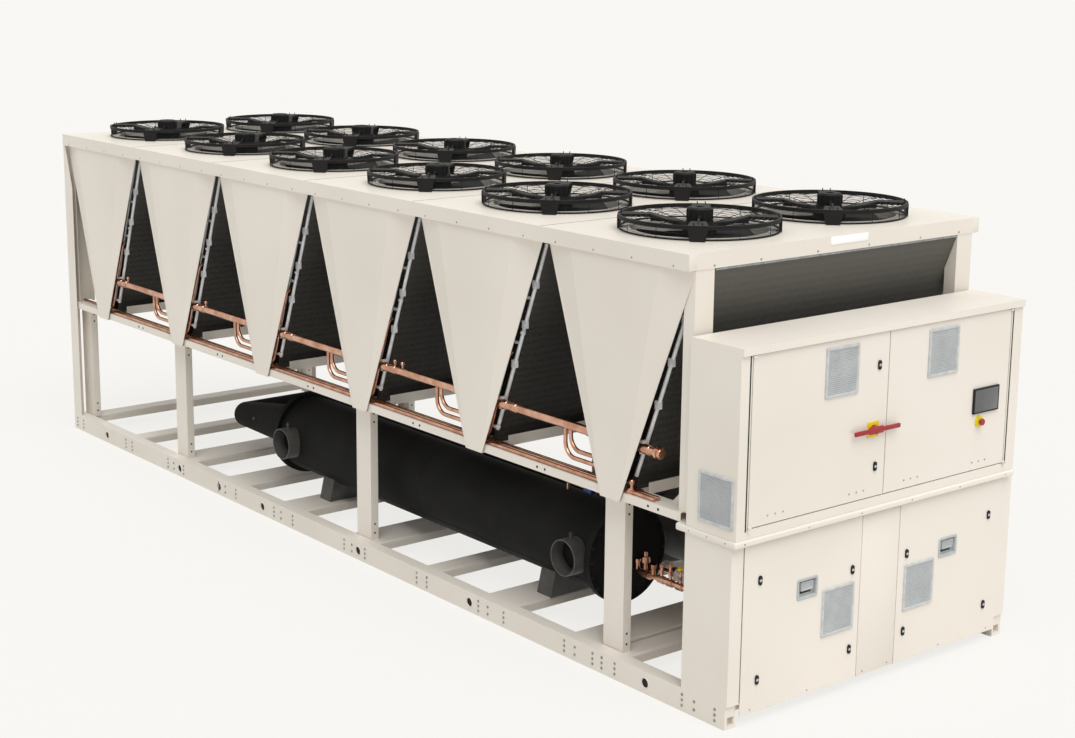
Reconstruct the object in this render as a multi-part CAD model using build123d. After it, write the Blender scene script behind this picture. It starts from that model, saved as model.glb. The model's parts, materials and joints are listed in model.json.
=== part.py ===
# Air-cooled screw chiller with twelve fans, V-shaped coils and two cabinets at one end.
# Millimetres, +Z up. +X runs along the unit to the cabinet end, -Y is the side with the water nozzles.
# Shapes are laid out from the far end of the base and its nozzle side, and moved to the middle at export.
import os
from math import asin, atan2, cos

from build123d import *

os.makedirs("parts", exist_ok=True)

# Modules, base and deck
MODULES = 6                 # V-shaped coil modules, each with two fans
PITCH = 1196.0              # length of one module
WIDTH = 2250.0              # over the fan deck
RAIL_INSET = 15.0           # base rails behind the deck edge
RAIL_H = 125.0              # base channel
RAIL_FLANGE = 80.0
RAIL_WALL = 6.0
RAIL_END = 306.0            # base rails beyond the last module
LIFT_HOLE_R = 26.0          # round holes in the base rails, for slings
LIFT_HOLE_Z = 60.0
LIFT_FIRST = 581.0          # first hole, and then one every LIFT_STEP
LIFT_STEP = 1190.0
LIFT_EXTRA = 2358.0         # one more hole between the second and the third
LIFT_LAST = 6885.0          # and one under the cabinet end
ANCHOR_R = 9.0              # anchor bolt holes in the lower flange
ANCHOR_X = 200.0            # from each rail end
ANCHOR_IN = 35.0
CASTING_L = 120.0           # castings in the rail ends
CASTING_W = 70.0
CASTING_RIM = 12.0
POCKET_D = 30.0
POCKET_LOW = 20.0
POCKET_HIGH = 64.0
CROSS_W = 150.0             # narrow cross members of the base
CROSS_WIDE_W = 285.0        # those under posts and machines
CROSS_H = 55.0              # depth of a cross member below its top
CROSS_WALL = 4.0
CROSS_TOP = 118.0           # their tops above the floor
CROSS_ROUND = 14.0
CROSS_NARROW_XS = (105.0, 955.0, 4855.0, 6590.0)
CROSS_WIDE_XS = (1710.0, 2475.0, 3235.0, 4110.0, 5550.0, 6340.0, 7290.0)

# Posts and the rail under the coils
POST_W = 160.0
POST_D = 55.0
POST_WALL = 5.0
POST_Y = 100.0              # outer face of the posts behind the deck edge
POST_FIRST = 112.0
POST_SECOND = 1670.0
POST_STEP = 2430.0          # from the second post on
MID_TOP = 1050.0            # top of the rail that carries the coils
MID_H = 47.0
MID_D = 120.0
MID_Y = 30.0
GUSSET_X = 6925.0           # brackets at the cabinet end of the rail
GUSSET_H = 72.0
TROUGH_W = 380.0            # pan under each V
TROUGH_H = 62.0
TROUGH_WALL = 3.0
TROUGH_Y = 122.0            # ends of the pans behind the deck edge

# Angles at the far corners, from the base to the deck
CORNER_W = 125.0
CORNER_T = 4.0
CORNER_NECK = 32.0          # width of their tapered heads
CORNER_TAPER = 1970.0       # where the taper begins
CORNER_NECK_Z = 2280.0

# Coils and side panels
V_FOOT = 150.0              # width of a V at its foot
V_GAP = 60.0                # between two modules under the deck
PANEL_T = 3.0
PANEL_Y = 12.0              # face of the side panels behind the deck edge
PANEL_BACK = 40.0           # how far the folded wings lean back at the top
PANEL_WING = 220.0          # width of a wing at the top
PANEL_LIP = 48.0            # lip under the foot of a panel
COIL_T = 45.0
COIL_Y = 110.0              # ends of the coils behind the deck edge
HEADER_R = 11.0             # aluminium tube along each coil end
HEADER_FREE = 25.0          # left free at both ends of it
HEADER_BLOCKS = 3           # blocks that hold the tube to the coil end
BLOCK_W = 30.0
BLOCK_H = 44.0
CLIP_W = 14.0               # clip that holds the gas line to each coil end
CLIP_H = 70.0

# Fan deck
DECK_TOP = 2385.0
DECK_T = 3.0
DECK_INSET = 26.0           # deck ends inside the module ends
FASCIA_H = 85.0
FASCIA_T = 3.0
FASCIA_LIP = 60.0
FAN_Y = 616.0               # fan axis from the deck edge
THROAT_R = 370.0
COLLAR_DEPTH = 60.0
COLLAR_T = 3.0
RIM_T = 5.0                 # flat rim of the wall ring on the deck
LIP_W = 16.0                # its rolled lip

# Fans
GUARD_R = 437.0
GUARD_H = 84.0
GUARD_BAR = 10.0
ARM_BAR = 9.0
ARM_GAP = 60.0              # between the two bars of an arm
ARM_FLAT = 175.0            # level run of an arm before it slopes to the motor
MOTOR_R = 69.0
MOTOR_TOP = 40.0            # motor top above the guard
MOTOR_FLANGE_R = 98.0
MOTOR_FLANGE_T = 14.0
MOTOR_LOW = 22.0            # underside of the motor flange above the deck
ROTOR_R = 352.0
HUB_R = 92.0
HUB_H = 110.0
ROTOR_BELOW = 6.0           # running gap between motor flange and hub
SHAFT_R = 15.0
SHAFT_FIT = 0.05            # radial clearance of shafts and pins in their bores
BLADES = 5
BLADE_T = 5.0
BLADE_PITCH = 22.0          # degrees
BLADE_ROOT = 120.0
BLADE_TIP = 230.0

# End posts beside the last coil
END_POST_W = 128.0
END_POST_L = 78.0
END_POST_Y = 52.0
END_POST_CLEAR = 2.0        # between an end post and the coil cut round it

# Evaporator
SHELL_R = 258.0
SHELL_L = 3500.0
SHELL_X = 2672.0
SHELL_Y = 549.0
SHELL_Z = 464.0
SHELL_FLANGE_R = 289.0
SHELL_FLANGE_T = 45.0
SHELL_HEAD = 36.0           # depth of the domed heads
NOZZLE_R = 108.0
NOZZLE_WALL = 7.0
NOZZLE_MOUTH = 205.0        # nozzle mouths behind the deck edge
NOZZLE_FIT = 70.0           # machined bore behind the mouth
NOZZLE_RELIEF = 3.0         # wider behind it
NOZZLE_A = 2906.0
NOZZLE_B = 5968.0
VENT_R = 9.0
VENT_H = 20.0
SADDLE_A = 3246.0
SADDLE_B = 5635.0
SADDLE_T = 130.0
SADDLE_FOOT = 410.0
SADDLE_TOP = 290.0

# Suction line from the far end of the evaporator back to the compressors
SUCTION_R = 92.0
SUCTION_HOOD_R = 165.0      # insulated outlet hood on the far head
SUCTION_HOOD_Z = 478.0
SUCTION_OUT = 830.0         # from the far head to the bend
SUCTION_Z = 410.0

# Compressor behind the evaporator
COMP_R = 235.0
COMP_FLANGE_R = 265.0
COMP_FLANGE_T = 30.0
COMP_X0 = 5330.0
COMP_X1 = 6480.0
COMP_ROTOR_L = 483
COMP_Y = 1240.0
COMP_Z = 470.0
COMP_FOOT_W = 110.0
COMP_FOOT_D = 360.0

# Liquid line with its valves, and the drier beside it
LIQUID_LINE_R = 16.0
LIQUID_LINE_Y = 549.0
LIQUID_LINE_Z = 392.0
VALVE_BODY_R = 27.0
VALVE_STEM_R = 13.0
VALVE_AFTER = 118.0         # from the end of the evaporator
VALVE_TOP = 522.0
SERVICE_STEP = 66.0         # service valves either side of it
DRIER_R = 36.0
DRIER_AFTER = 228.0
DRIER_L = 260.0
DRIER_Y = 650.0
DRIER_Z = 405.0
DRIER_PIPE_R = 11.0

# Copper lines
GAS_R = 25.0
GAS_Y = 62.0
GAS_Z = 1312.0
GAS_CAP_R = 34.0
GAS_CAP_L = 16.0
LIQUID_R = 12.0
LIQUID_Y = 52.0             # the outer one of the two on the rail
LIQUID_STEP = 28.0
BRANCH_R = 12.0             # bends from the gas line down to the next coil
BRANCH_BEND = 80.0
BRANCH_BACK = 300.0
BRANCH_STEP = 45.0
BRANCH_Z = 1135.0
LINE_FROM = 540.0
LINE_TO = 6890.0

# Lower cabinet
LOW_X = 7160.0
LOW_FRONT = 7494.0
LOW_Y = 15.0
LOW_PANEL_T = 5.0
LOW_PANEL_EDGE = 88.0       # corner posts beside the lift-off panels
LOW_PANEL_LOW = 57.0
LOW_PANEL_HIGH = 952.0
LOW_MIDDLE_W = 300.0        # fixed panel between the two
LOW_SEAM = 3.0
LATCH_W = 24.0              # wing latches
LATCH_TALL = 50.0
LATCH_H = 7.0
LOW_LATCH_OUT = 113.0       # from the outer edge of a panel to its outer latches
LOW_LATCH_IN = 64.0
LOW_LATCH_ZS = (230.0, 760.0, 672.0)   # low, outer high, inner high
LOW_VENT_W = 248.0
LOW_VENT_H = 250.0
LOW_VENT_Z = 477.0
LOW_VENT_YS = (803.0, 1450.0)
LOW_GRIP_W = 146.0          # recessed grips
LOW_GRIP_H = 106.0
LOW_GRIP_DEPTH = 28.0
LOW_GRIP_Z = 645.0
LOW_GRIP_YS = (566.0, 1688.0)

# Upper cabinet
UP_X = 7172.0
UP_FRONT = 7503.0           # front of the frame, behind the doors
UP_Y = 8.0
UP_W = 2190.0
UP_LOW = 1005.0
BAND_LOW = 965.0            # folded edge between the two cabinets
BAND_X = 7106.0
BAND_PROUD = 8.0
BAND_ROUND = 14.0
SIDE_VENT_X = 7381.0
SIDE_VENT_Z = 1188.0
UP_TOP = 1940.0
UP_WALL = 3.0
UP_JAMB = 77.0              # frame beside the door opening, nozzle side
UP_JAMB_FAR = 95.0
UP_SILL = 50.0
UP_HEAD = 10.0
ROOF_T = 38.0
ROOF_OVER = 14.0            # roof beyond the doors
DOOR_T = 20.0
DOOR_BACK_GAP = 2.0         # behind the leaf
DOOR_GAP = 6.0
DOOR_SKIN = 3.0
DOOR_SEAM = 1090.0          # middle of the seam from the nozzle side
HINGE_OUT = 7.0             # hinge pins in front of the door face
HINGE_PIN_R = 3.0
HINGE_EAR_R = 5.0
HINGE_EAR_H = 8.0
HINGE_PIN_L = 12.0
VENT_LEFT_Y = 729.0
VENT_RIGHT_Y = 1525.0
VENT_W = 240.0
VENT_TALL = 250.0
VENT_Z = 1772.0
VENT_LOUVRES = 8
VENT_PROUD = 4.0
LATCH_BACK = 76.0           # door latches beside the seam
LATCH_ZS = (1223.0, 1765.0)
PLATE_T = 4.0
PLATE_MARGIN = 120.0
PLATE_OFF = 40.0

# Controls
SWITCH_Y = 985.0
SWITCH_Z = 1427.0
SWITCH_PLATE = 84.0
SWITCH_PLATE_T = 4.0
SWITCH_OFF = 0.5
SWITCH_HUB_R = 24.0
SWITCH_HUB_L = 30.0
SWITCH_LONG = 350.0
SWITCH_SHIFT = -10.0
SWITCH_THICK = 16.0
SWITCH_WIDE = 26.0
SCREEN_IN = 292.0           # from the far side of the cabinet
SCREEN_Z = 1452.0
SCREEN_W = 215.0
SCREEN_H = 140.0
SCREEN_T = 12.0
STOP_IN = 340.0
STOP_Z = 1335.0
STOP_RING_R = 30.0
STOP_RING_T = 12.0
STOP_HEAD_R = 19.0
STOP_TRAVEL = 6.0
STOP_LIFT = 5
STOP_STEM_IN = 2
STOP_HEAD_T = 12
STOP_ROUND = 5
SCREEN_DISH = 3
SCREEN_SIDE = 18
SCREEN_RIM = 16
HINGE_EAR_L = 16
VENT_BLADE = 0.7
STANDOFF_IN = 60
STANDOFF_R = 10

# Gear on the mounting plate: places from the plate's lower corner, then sizes.
GEAR_IN = 120
STARTERS = 4
STARTER_STEP = 260
STARTER_W = 200
STARTER_T = 120
STARTER_LOW = 420
RELAYS = 9
RELAY_STEP = 130
RELAY_W = 90
RELAY_T = 80
RELAY_H = 140
RELAY_LOW = 180
CONTROLLER_IN = 1300
CONTROLLER_LOW = 380
CONTROLLER_W = 420
CONTROLLER_H = 260
CONTROLLER_T = 90
TERMINALS_IN = 100
TERMINALS_LOW = 50
TERMINALS_L = 1660
TERMINALS_T = 60

# Small sizes of the evaporator's and the liquid line's fittings.
GROOVE_IN = 16
GROOVE_W = 9
GROOVE_DEPTH = 2.5
NIPPLE_IN = 60
SADDLE_BELOW = 80
VALVE_L = 90
GLAND_IN = 30
GLAND_H = 32
SERVICE_H = 70
SERVICE_CAP_H = 22
SERVICE_CAP_R = 18
BLOCK_PROUD = 4
STOP_STEM_R = 8.0
STOP_FIT = 0.3

# Worked out from the sizes above
MODULE_ROW = MODULES * PITCH
RAIL_L = MODULE_ROW + RAIL_END
DOOR_FACE = UP_FRONT + DOOR_BACK_GAP + DOOR_T
LENGTH = DOOR_FACE + SWITCH_PLATE_T + SWITCH_OFF + SWITCH_HUB_L
DECK_X0, DECK_X1 = DECK_INSET, MODULE_ROW - DECK_INSET
DECK_LOW = DECK_TOP - FASCIA_H
V_TOP = PITCH - V_GAP
FAN_XS = [(k + 0.5) * PITCH for k in range(MODULES)]
FAN_YS = [FAN_Y, WIDTH - FAN_Y]
POST_XS = [POST_FIRST] + [POST_SECOND + k * POST_STEP for k in range(3)]
LIFT_XS = [LIFT_FIRST + k * LIFT_STEP for k in range(5)] + [LIFT_EXTRA, LIFT_LAST]
MID_LOW = MID_TOP - MID_H
RAIL_END_X = BAND_X         # the coil rail ends at the cabinet
PANEL_LOW = MID_LOW - PANEL_T
COIL_LOW = MID_TOP + TROUGH_WALL
SHELL_END = SHELL_X + SHELL_L
VALVE_X = SHELL_END + VALVE_AFTER
DRIER_X = SHELL_END + DRIER_AFTER
SCREEN_Y = UP_Y + UP_W - SCREEN_IN
STOP_Y = UP_Y + UP_W - STOP_IN
SLOPE = atan2((V_TOP - V_FOOT) / 2, DECK_LOW - PANEL_LOW)


def box(x0, x1, y0, y1, z0, z1):
    """A block between two corners."""
    return Pos((x0 + x1) / 2, (y0 + y1) / 2, (z0 + z1) / 2) * Box(x1 - x0, y1 - y0, z1 - z0)


def rod(start, end, radius):
    """A round bar from one point to another."""
    a, b = Vector(*start), Vector(*end)
    return Plane(origin=a, z_dir=b - a) * Cylinder(radius, (b - a).length,
                                                   align=(Align.CENTER, Align.CENTER, Align.MIN))


def prism_y(points, y0, y1):
    """A profile of (x, z) points, pushed along Y from y0 to y1."""
    face = make_face(Polyline(*[(x, y0, z) for x, z in points], close=True))
    return extrude(face, amount=y1 - y0, dir=(0, 1, 0))


def prism_x(points, x0, x1):
    """A profile of (y, z) points, pushed along X from x0 to x1."""
    face = make_face(Polyline(*[(x0, y, z) for y, z in points], close=True))
    return extrude(face, amount=x1 - x0, dir=(1, 0, 0))


def other_side(shape):
    """The same piece on the other long side of the unit."""
    return mirror(shape, about=Plane.XZ.offset(-WIDTH / 2))


def both_sides(shapes):
    return shapes + [other_side(s) for s in shapes]


def base_rails():
    """Two channels, open to the inside, with round lifting holes."""
    y0, y1, w = RAIL_INSET, RAIL_INSET + RAIL_FLANGE, RAIL_WALL
    channel = prism_x([(y0, 0), (y1, 0), (y1, w), (y0 + w, w), (y0 + w, RAIL_H - w),
                       (y1, RAIL_H - w), (y1, RAIL_H), (y0, RAIL_H)], 0, RAIL_L)
    for x in LIFT_XS:
        channel -= rod((x, y0 - 1, LIFT_HOLE_Z), (x, y0 + w + 1, LIFT_HOLE_Z), LIFT_HOLE_R)
    for x in (ANCHOR_X, RAIL_L - ANCHOR_X):
        channel -= rod((x, anchor_y(), -1), (x, anchor_y(), w + 1), ANCHOR_R)
    for casting in corner_castings():
        channel += casting
    return both_sides([channel])


def anchor_y():
    """Middle of the lower flange, where the anchor bolts go."""
    return RAIL_INSET + RAIL_WALL + ANCHOR_IN


def corner_castings():
    """Castings welded inside the rail ends, each with a pocket in its end."""
    castings = []
    z0, z1 = RAIL_WALL - 1, RAIL_H - RAIL_WALL + 1
    y0 = RAIL_INSET + RAIL_WALL - 1
    pocket_y = (y0 + CASTING_RIM, y0 + CASTING_W - CASTING_RIM)
    for x0, end in ((0, 0), (RAIL_L - CASTING_L, RAIL_L)):
        casting = box(x0, x0 + CASTING_L, y0, y0 + CASTING_W, z0, z1)
        casting -= box(end - POCKET_D, end + POCKET_D, *pocket_y, POCKET_LOW, POCKET_HIGH)
        castings.append(casting)
    return castings


def cross_xs():
    """Middles and widths of the base's cross members."""
    return [(x, CROSS_W) for x in CROSS_NARROW_XS] + [(x, CROSS_WIDE_W) for x in CROSS_WIDE_XS]


def base_cross_members():
    """Bent-sheet beams between the rails, with rounded shoulders, open below."""
    beams = []
    y0, y1 = RAIL_INSET + RAIL_WALL, WIDTH - RAIL_INSET - RAIL_WALL
    z0, z1, w = CROSS_TOP - CROSS_H, CROSS_TOP, CROSS_WALL
    for x, wide in cross_xs():
        h = wide / 2
        beam = prism_y([(x - h, z0), (x - h, z1), (x + h, z1), (x + h, z0)], y0, y1)
        shoulders = beam.edges().filter_by(Axis.Y).group_by(Axis.Z)[-1]
        beam = fillet(shoulders, CROSS_ROUND)
        inner = prism_y([(x - h + w, z0 - 1), (x - h + w, z1 - w), (x + h - w, z1 - w), (x + h - w, z0 - 1)],
                        y0 - 1, y1 + 1)
        inner = fillet(inner.edges().filter_by(Axis.Y).group_by(Axis.Z)[-1], CROSS_ROUND - w)
        beam -= inner
        for casting in both_sides(corner_castings()):
            beam -= casting
        beams.append(beam)
    return beams


def end_post_at(x0, x1, web, z0, z1):
    """Folded channel across the end of the coils; web is the x of the face that shows."""
    y0, y1, w = END_POST_Y, END_POST_Y + END_POST_W, POST_WALL
    block = box(x0, x1, y0, y1, z0, z1)
    inner = (x0 - 1, x1 - w) if web == x1 else (x0 + w, x1 + 1)
    return block - box(*inner, y0 + w, y1 - w, z0 - 1, z1 + 1)


def end_post_spans():
    """X spans of the end posts, and the face that shows of each."""
    near, far = DECK_X1 - FASCIA_T, DECK_X0 + FASCIA_T
    return [(near - END_POST_L, near, near), (far, far + END_POST_L, far)]


def end_post_room():
    """Blocks that the coils and their tubes leave free for the end posts."""
    c = END_POST_CLEAR
    return [box(x0 - c, x1 + c, END_POST_Y - c, END_POST_Y + END_POST_W + c, MID_TOP - 1, DECK_LOW + 1)
            for x0, x1, _ in end_post_spans()]


def corner_angle():
    """Angle at a far corner, with a head that tapers to the deck."""
    y, t, z0 = RAIL_INSET, CORNER_T, RAIL_H
    leg = prism_y([(0, z0), (CORNER_W, z0), (CORNER_W, CORNER_TAPER), (CORNER_NECK, CORNER_NECK_Z),
                   (CORNER_NECK, DECK_LOW), (0, DECK_LOW)], y, y + t)
    return leg + box(0, t, y, y + RAIL_FLANGE, z0, DECK_LOW)


def frame_posts():
    """Folded channels from the cross members to the coil rail, and the posts at both ends of the coils."""
    posts = [corner_angle()]
    for x in POST_XS:
        x0, x1, y0, y1, w = x - POST_W / 2, x + POST_W / 2, POST_Y, POST_Y + POST_D, POST_WALL
        z = CROSS_TOP
        outline = Polyline((x0, y0, z), (x1, y0, z), (x1, y1, z), (x1 - w, y1, z), (x1 - w, y0 + w, z),
                           (x0 + w, y0 + w, z), (x0 + w, y1, z), (x0, y1, z), close=True)
        posts.append(extrude(make_face(outline), amount=MID_LOW - z, dir=(0, 0, 1)))
    for x0, x1, web in end_post_spans():
        posts.append(end_post_at(x0, x1, web, MID_TOP, DECK_LOW))
    return both_sides(posts)


def mid_rails():
    """Channel along each side that carries the coils, open to the inside, with a gusset at the cabinet."""
    y0, y1, w = MID_Y, MID_Y + MID_D, PANEL_T
    rail = prism_x([(y0, MID_LOW), (y1, MID_LOW), (y1, MID_LOW + w), (y0 + w, MID_LOW + w),
                    (y0 + w, MID_TOP - w),
                    (y1, MID_TOP - w), (y1, MID_TOP), (y0, MID_TOP)], DECK_X0, RAIL_END_X)
    rail += prism_y([(GUSSET_X, MID_TOP - w), (GUSSET_X, MID_TOP), (GUSSET_X + GUSSET_H, MID_TOP + GUSSET_H),
                     (RAIL_END_X, MID_TOP + GUSSET_H), (RAIL_END_X, MID_TOP - w)], y1 - w, y1)
    return both_sides([rail])


def coil_troughs():
    """Shallow pan under each V, lying on the two rails."""
    y0, y1 = TROUGH_Y, WIDTH - TROUGH_Y
    z0, z1 = MID_TOP, MID_TOP + TROUGH_H
    h, w = TROUGH_W / 2, TROUGH_WALL
    pans = []
    for x in FAN_XS:
        pans.append(prism_y([(x - h, z0), (x + h, z0), (x + h, z1), (x + h - w, z1), (x + h - w, z0 + w),
                             (x - h + w, z0 + w), (x - h + w, z1), (x - h, z1)], y0, y1))
    return pans


def side_panel(x):
    """Trapezoid sheet with two wings folded back along lines that meet the edge at the foot."""
    foot, top, z0, z1 = V_FOOT / 2, V_TOP / 2, PANEL_LOW, DECK_LOW
    back = PANEL_Y + PANEL_BACK
    block = prism_y([(x - foot, z0), (x + foot, z0), (x + top, z1), (x - top, z1)], PANEL_Y, back)
    for s in (-1, 1):
        fold_top = Vector(x + s * (top - PANEL_WING), PANEL_Y, z1)
        fold_low = Vector(x + s * foot, PANEL_Y, z0)
        edge_top = Vector(x + s * top, back, z1)
        normal = (fold_top - fold_low).cross(edge_top - fold_low)
        if normal.Y > 0:
            normal = normal * -1
        keep = Plane(origin=fold_low, z_dir=normal)
        block = split(block, bisect_by=keep, keep=Keep.BOTTOM)
    sheet = block - Pos(0, PANEL_T, 0) * block
    lip = box(x - foot, x + foot, PANEL_Y, PANEL_Y + PANEL_LIP, z0, z0 + PANEL_T)
    return (sheet + lip).clean()


def v_side_panels():
    return both_sides([side_panel(x) for x in FAN_XS])


def coil_edge(x, s, z):
    """X of the outer face of a coil at height z; s is the side of the module it leans to."""
    return x + s * (V_FOOT / 2 + (z - PANEL_LOW) * (V_TOP - V_FOOT) / 2 / (DECK_LOW - PANEL_LOW))


def condenser_coils():
    """Two slabs per module, leaning apart from the pan to the deck."""
    slabs = []
    thick = COIL_T / cos(SLOPE)
    for x in FAN_XS:
        for s in (-1, 1):
            lo, hi = coil_edge(x, s, COIL_LOW), coil_edge(x, s, DECK_LOW)
            slabs.append(prism_y([(lo, COIL_LOW), (hi, DECK_LOW), (hi - s * thick, DECK_LOW),
                                  (lo - s * thick, COIL_LOW)],
                                 COIL_Y, WIDTH - COIL_Y))
    for room in both_sides(end_post_room()):
        slabs[0] -= room
        slabs[-1] -= room
    return slabs


def coil_headers():
    """Aluminium tube along the outer edge of each coil end, with its blocks and the clip of the gas line."""
    tubes = []
    z0, z1 = MID_TOP + TROUGH_H + HEADER_FREE, DECK_LOW - HEADER_FREE
    y = COIL_Y - HEADER_R
    for x in FAN_XS:
        for s in (-1, 1):
            inner = s * (HEADER_R + 1)
            tube = rod((coil_edge(x, s, z0) - inner, y, z0), (coil_edge(x, s, z1) - inner, y, z1), HEADER_R)
            for k in range(HEADER_BLOCKS):
                z = GAS_Z + (k + 1) * (z1 - GAS_Z) / (HEADER_BLOCKS + 1)
                bx = coil_edge(x, s, z) - inner
                tube += box(bx - BLOCK_W / 2, bx + BLOCK_W / 2, y - HEADER_R - BLOCK_PROUD, COIL_Y,
                            z - BLOCK_H / 2, z + BLOCK_H / 2)
            clip_x = coil_edge(x, s, GAS_Z) - inner
            clip = box(clip_x - CLIP_W / 2, clip_x + CLIP_W / 2, GAS_Y, COIL_Y, GAS_Z - CLIP_H / 2,
                       GAS_Z + CLIP_H / 2)
            tubes.append(tube + clip - rod((clip_x - CLIP_W, GAS_Y, GAS_Z), (clip_x + CLIP_W, GAS_Y, GAS_Z),
                                           GAS_R))
    for room in end_post_room():
        tubes[0] -= room
        tubes[-1] -= room
    return both_sides(tubes)


def gas_branch(x, k):
    """Bend from the gas line down and on towards the next coil."""
    z = BRANCH_Z + k * BRANCH_STEP
    start = coil_edge(x, -1, BRANCH_Z) - BRANCH_BACK + k * BRANCH_STEP
    path = FilletPolyline((start, GAS_Y, GAS_Z), (start, GAS_Y, z),
                          (coil_edge(x, -1, z) + BRANCH_BEND, GAS_Y, z),
                          radius=BRANCH_BEND)
    return sweep(Plane(origin=(start, GAS_Y, GAS_Z), z_dir=(0, 0, -1)) * Circle(BRANCH_R), path=path)


def copper_lines():
    """Gas line with branches across the coil ends, and two liquid lines on the coil rail, on both sides."""
    gas = rod((LINE_FROM, GAS_Y, GAS_Z), (LINE_TO, GAS_Y, GAS_Z), GAS_R)
    gas += rod((LINE_FROM - GAS_CAP_L, GAS_Y, GAS_Z), (LINE_FROM, GAS_Y, GAS_Z), GAS_CAP_R)
    gas += rod((LINE_TO, GAS_Y, GAS_Z), (LINE_TO + GAS_CAP_L, GAS_Y, GAS_Z), GAS_CAP_R)
    for x in FAN_XS[1:]:
        for k in range(2):
            gas += gas_branch(x, k)
    lines = [gas]
    for k in range(2):
        y, z = LIQUID_Y + k * LIQUID_STEP, MID_TOP + LIQUID_R
        lines.append(rod((LINE_FROM, y, z), (LINE_TO, y, z), LIQUID_R))
    return both_sides(lines)


def fan_deck():
    """Deck sheet with a round opening under each fan."""
    deck = box(DECK_X0, DECK_X1, 0, WIDTH, DECK_TOP - DECK_T, DECK_TOP)
    for x in FAN_XS:
        for y in FAN_YS:
            deck -= Pos(x, y, DECK_TOP - DECK_T / 2) * Cylinder(THROAT_R + COLLAR_T, DECK_T + 2)
    return [deck]


def deck_fascias():
    """Side channels under the deck edges and end sheets between them."""
    z0, z1, t = DECK_LOW, DECK_TOP - DECK_T, FASCIA_T
    side = prism_x([(0, z0), (FASCIA_LIP, z0), (FASCIA_LIP, z0 + t), (t, z0 + t), (t, z1), (0, z1)],
                   DECK_X0, DECK_X1)
    end = box(DECK_X1 - t, DECK_X1, FASCIA_LIP, WIDTH - FASCIA_LIP, z0, z1)
    far = box(DECK_X0, DECK_X0 + t, FASCIA_LIP, WIDTH - FASCIA_LIP, z0, z1)
    return both_sides([side]) + [end, far]


def arm_bar():
    """One bent bar of a guard arm, in the plane of x and z, from the deck to the motor flange."""
    b, top = ARM_BAR, GUARD_H
    r_out, r_flat, r_in = GUARD_R, GUARD_R - ARM_FLAT, MOTOR_FLANGE_R - 10
    low = MOTOR_LOW + MOTOR_FLANGE_T
    drop = low - b
    pts = [(r_out, 0), (r_out, top), (r_flat, top), (r_in, low), (r_in, drop), (r_flat - 4, top - b),
           (r_out - b, top - b), (r_out - b, 0)]
    face = make_face(Polyline(*[(x, 0, z) for x, z in pts], close=True))
    return extrude(face, amount=b / 2, dir=(0, 1, 0), both=True)


def wall_ring():
    """Ring round the throat: a flat rim on the deck with a rolled lip, and a collar through the deck."""
    r, c, outer = THROAT_R, THROAT_R + COLLAR_T, GUARD_R
    lines = Polyline((r, RIM_T), (r, -COLLAR_DEPTH), (c, -COLLAR_DEPTH), (c, 0), (outer, 0), (outer, RIM_T),
                     (r + LIP_W, RIM_T))
    lip = ThreePointArc((r + LIP_W, RIM_T), (r + LIP_W / 2, RIM_T + LIP_W / 2), (r, RIM_T))
    profile = make_face(lines + lip)
    return revolve(Plane.XZ * profile, axis=Axis.Z)


def fan_guard(x, y):
    """Guard of one fan: wall ring, top ring, four arms of two bars each, and the motor flange they end on."""
    top_ring = Cylinder(GUARD_R, GUARD_BAR) - Cylinder(GUARD_R - GUARD_BAR, GUARD_BAR)
    guard = wall_ring() + Pos(0, 0, GUARD_H - GUARD_BAR / 2) * top_ring
    bar = arm_bar()
    for k in range(4):
        for s in (-1, 1):
            guard += Rot(0, 0, 45 + 90 * k) * Pos(0, s * ARM_GAP / 2, 0) * bar
    guard += Pos(0, 0, MOTOR_LOW + MOTOR_FLANGE_T / 2) * Cylinder(MOTOR_FLANGE_R, MOTOR_FLANGE_T)
    guard -= Pos(0, 0, MOTOR_LOW + MOTOR_FLANGE_T / 2) * Cylinder(SHAFT_R + SHAFT_FIT, MOTOR_FLANGE_T + 2)
    return Pos(x, y, DECK_TOP) * guard


def fan_guards():
    return [fan_guard(x, y) for x in FAN_XS for y in FAN_YS]


def fan_motors():
    """Motor body on the flange of each guard."""
    z0 = DECK_TOP + MOTOR_LOW + MOTOR_FLANGE_T
    z1 = DECK_TOP + GUARD_H + MOTOR_TOP
    body = Cylinder(MOTOR_R, z1 - z0, align=(Align.CENTER, Align.CENTER, Align.MIN))
    body = chamfer(body.edges().sort_by(Axis.Z)[-1], 10)
    return [Pos(x, y, z0) * body for x in FAN_XS for y in FAN_YS]


def fan_rotor(x, y):
    """Hub with pitched blades, running in the throat under the motor."""
    hub_top = MOTOR_LOW - ROTOR_BELOW
    hub = Pos(0, 0, hub_top - HUB_H / 2) * Cylinder(HUB_R, HUB_H)
    shaft_l = ROTOR_BELOW + MOTOR_FLANGE_T - 2
    shaft = Pos(0, 0, hub_top + shaft_l / 2) * Cylinder(SHAFT_R, shaft_l)
    rotor = hub + shaft
    outline = Polyline((HUB_R - 14, -BLADE_ROOT / 2), (ROTOR_R - 22, -BLADE_TIP / 2),
                       (ROTOR_R - 30, BLADE_TIP / 2),
                       (HUB_R - 14, BLADE_ROOT / 2), close=True)
    blade = extrude(make_face(outline), amount=BLADE_T / 2, both=True)
    for k in range(BLADES):
        rotor += Rot(0, 0, 360 / BLADES * k) * Pos(0, 0, hub_top - HUB_H / 2) * Rot(BLADE_PITCH, 0, 0) * blade
    return Pos(x, y, DECK_TOP) * rotor


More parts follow.
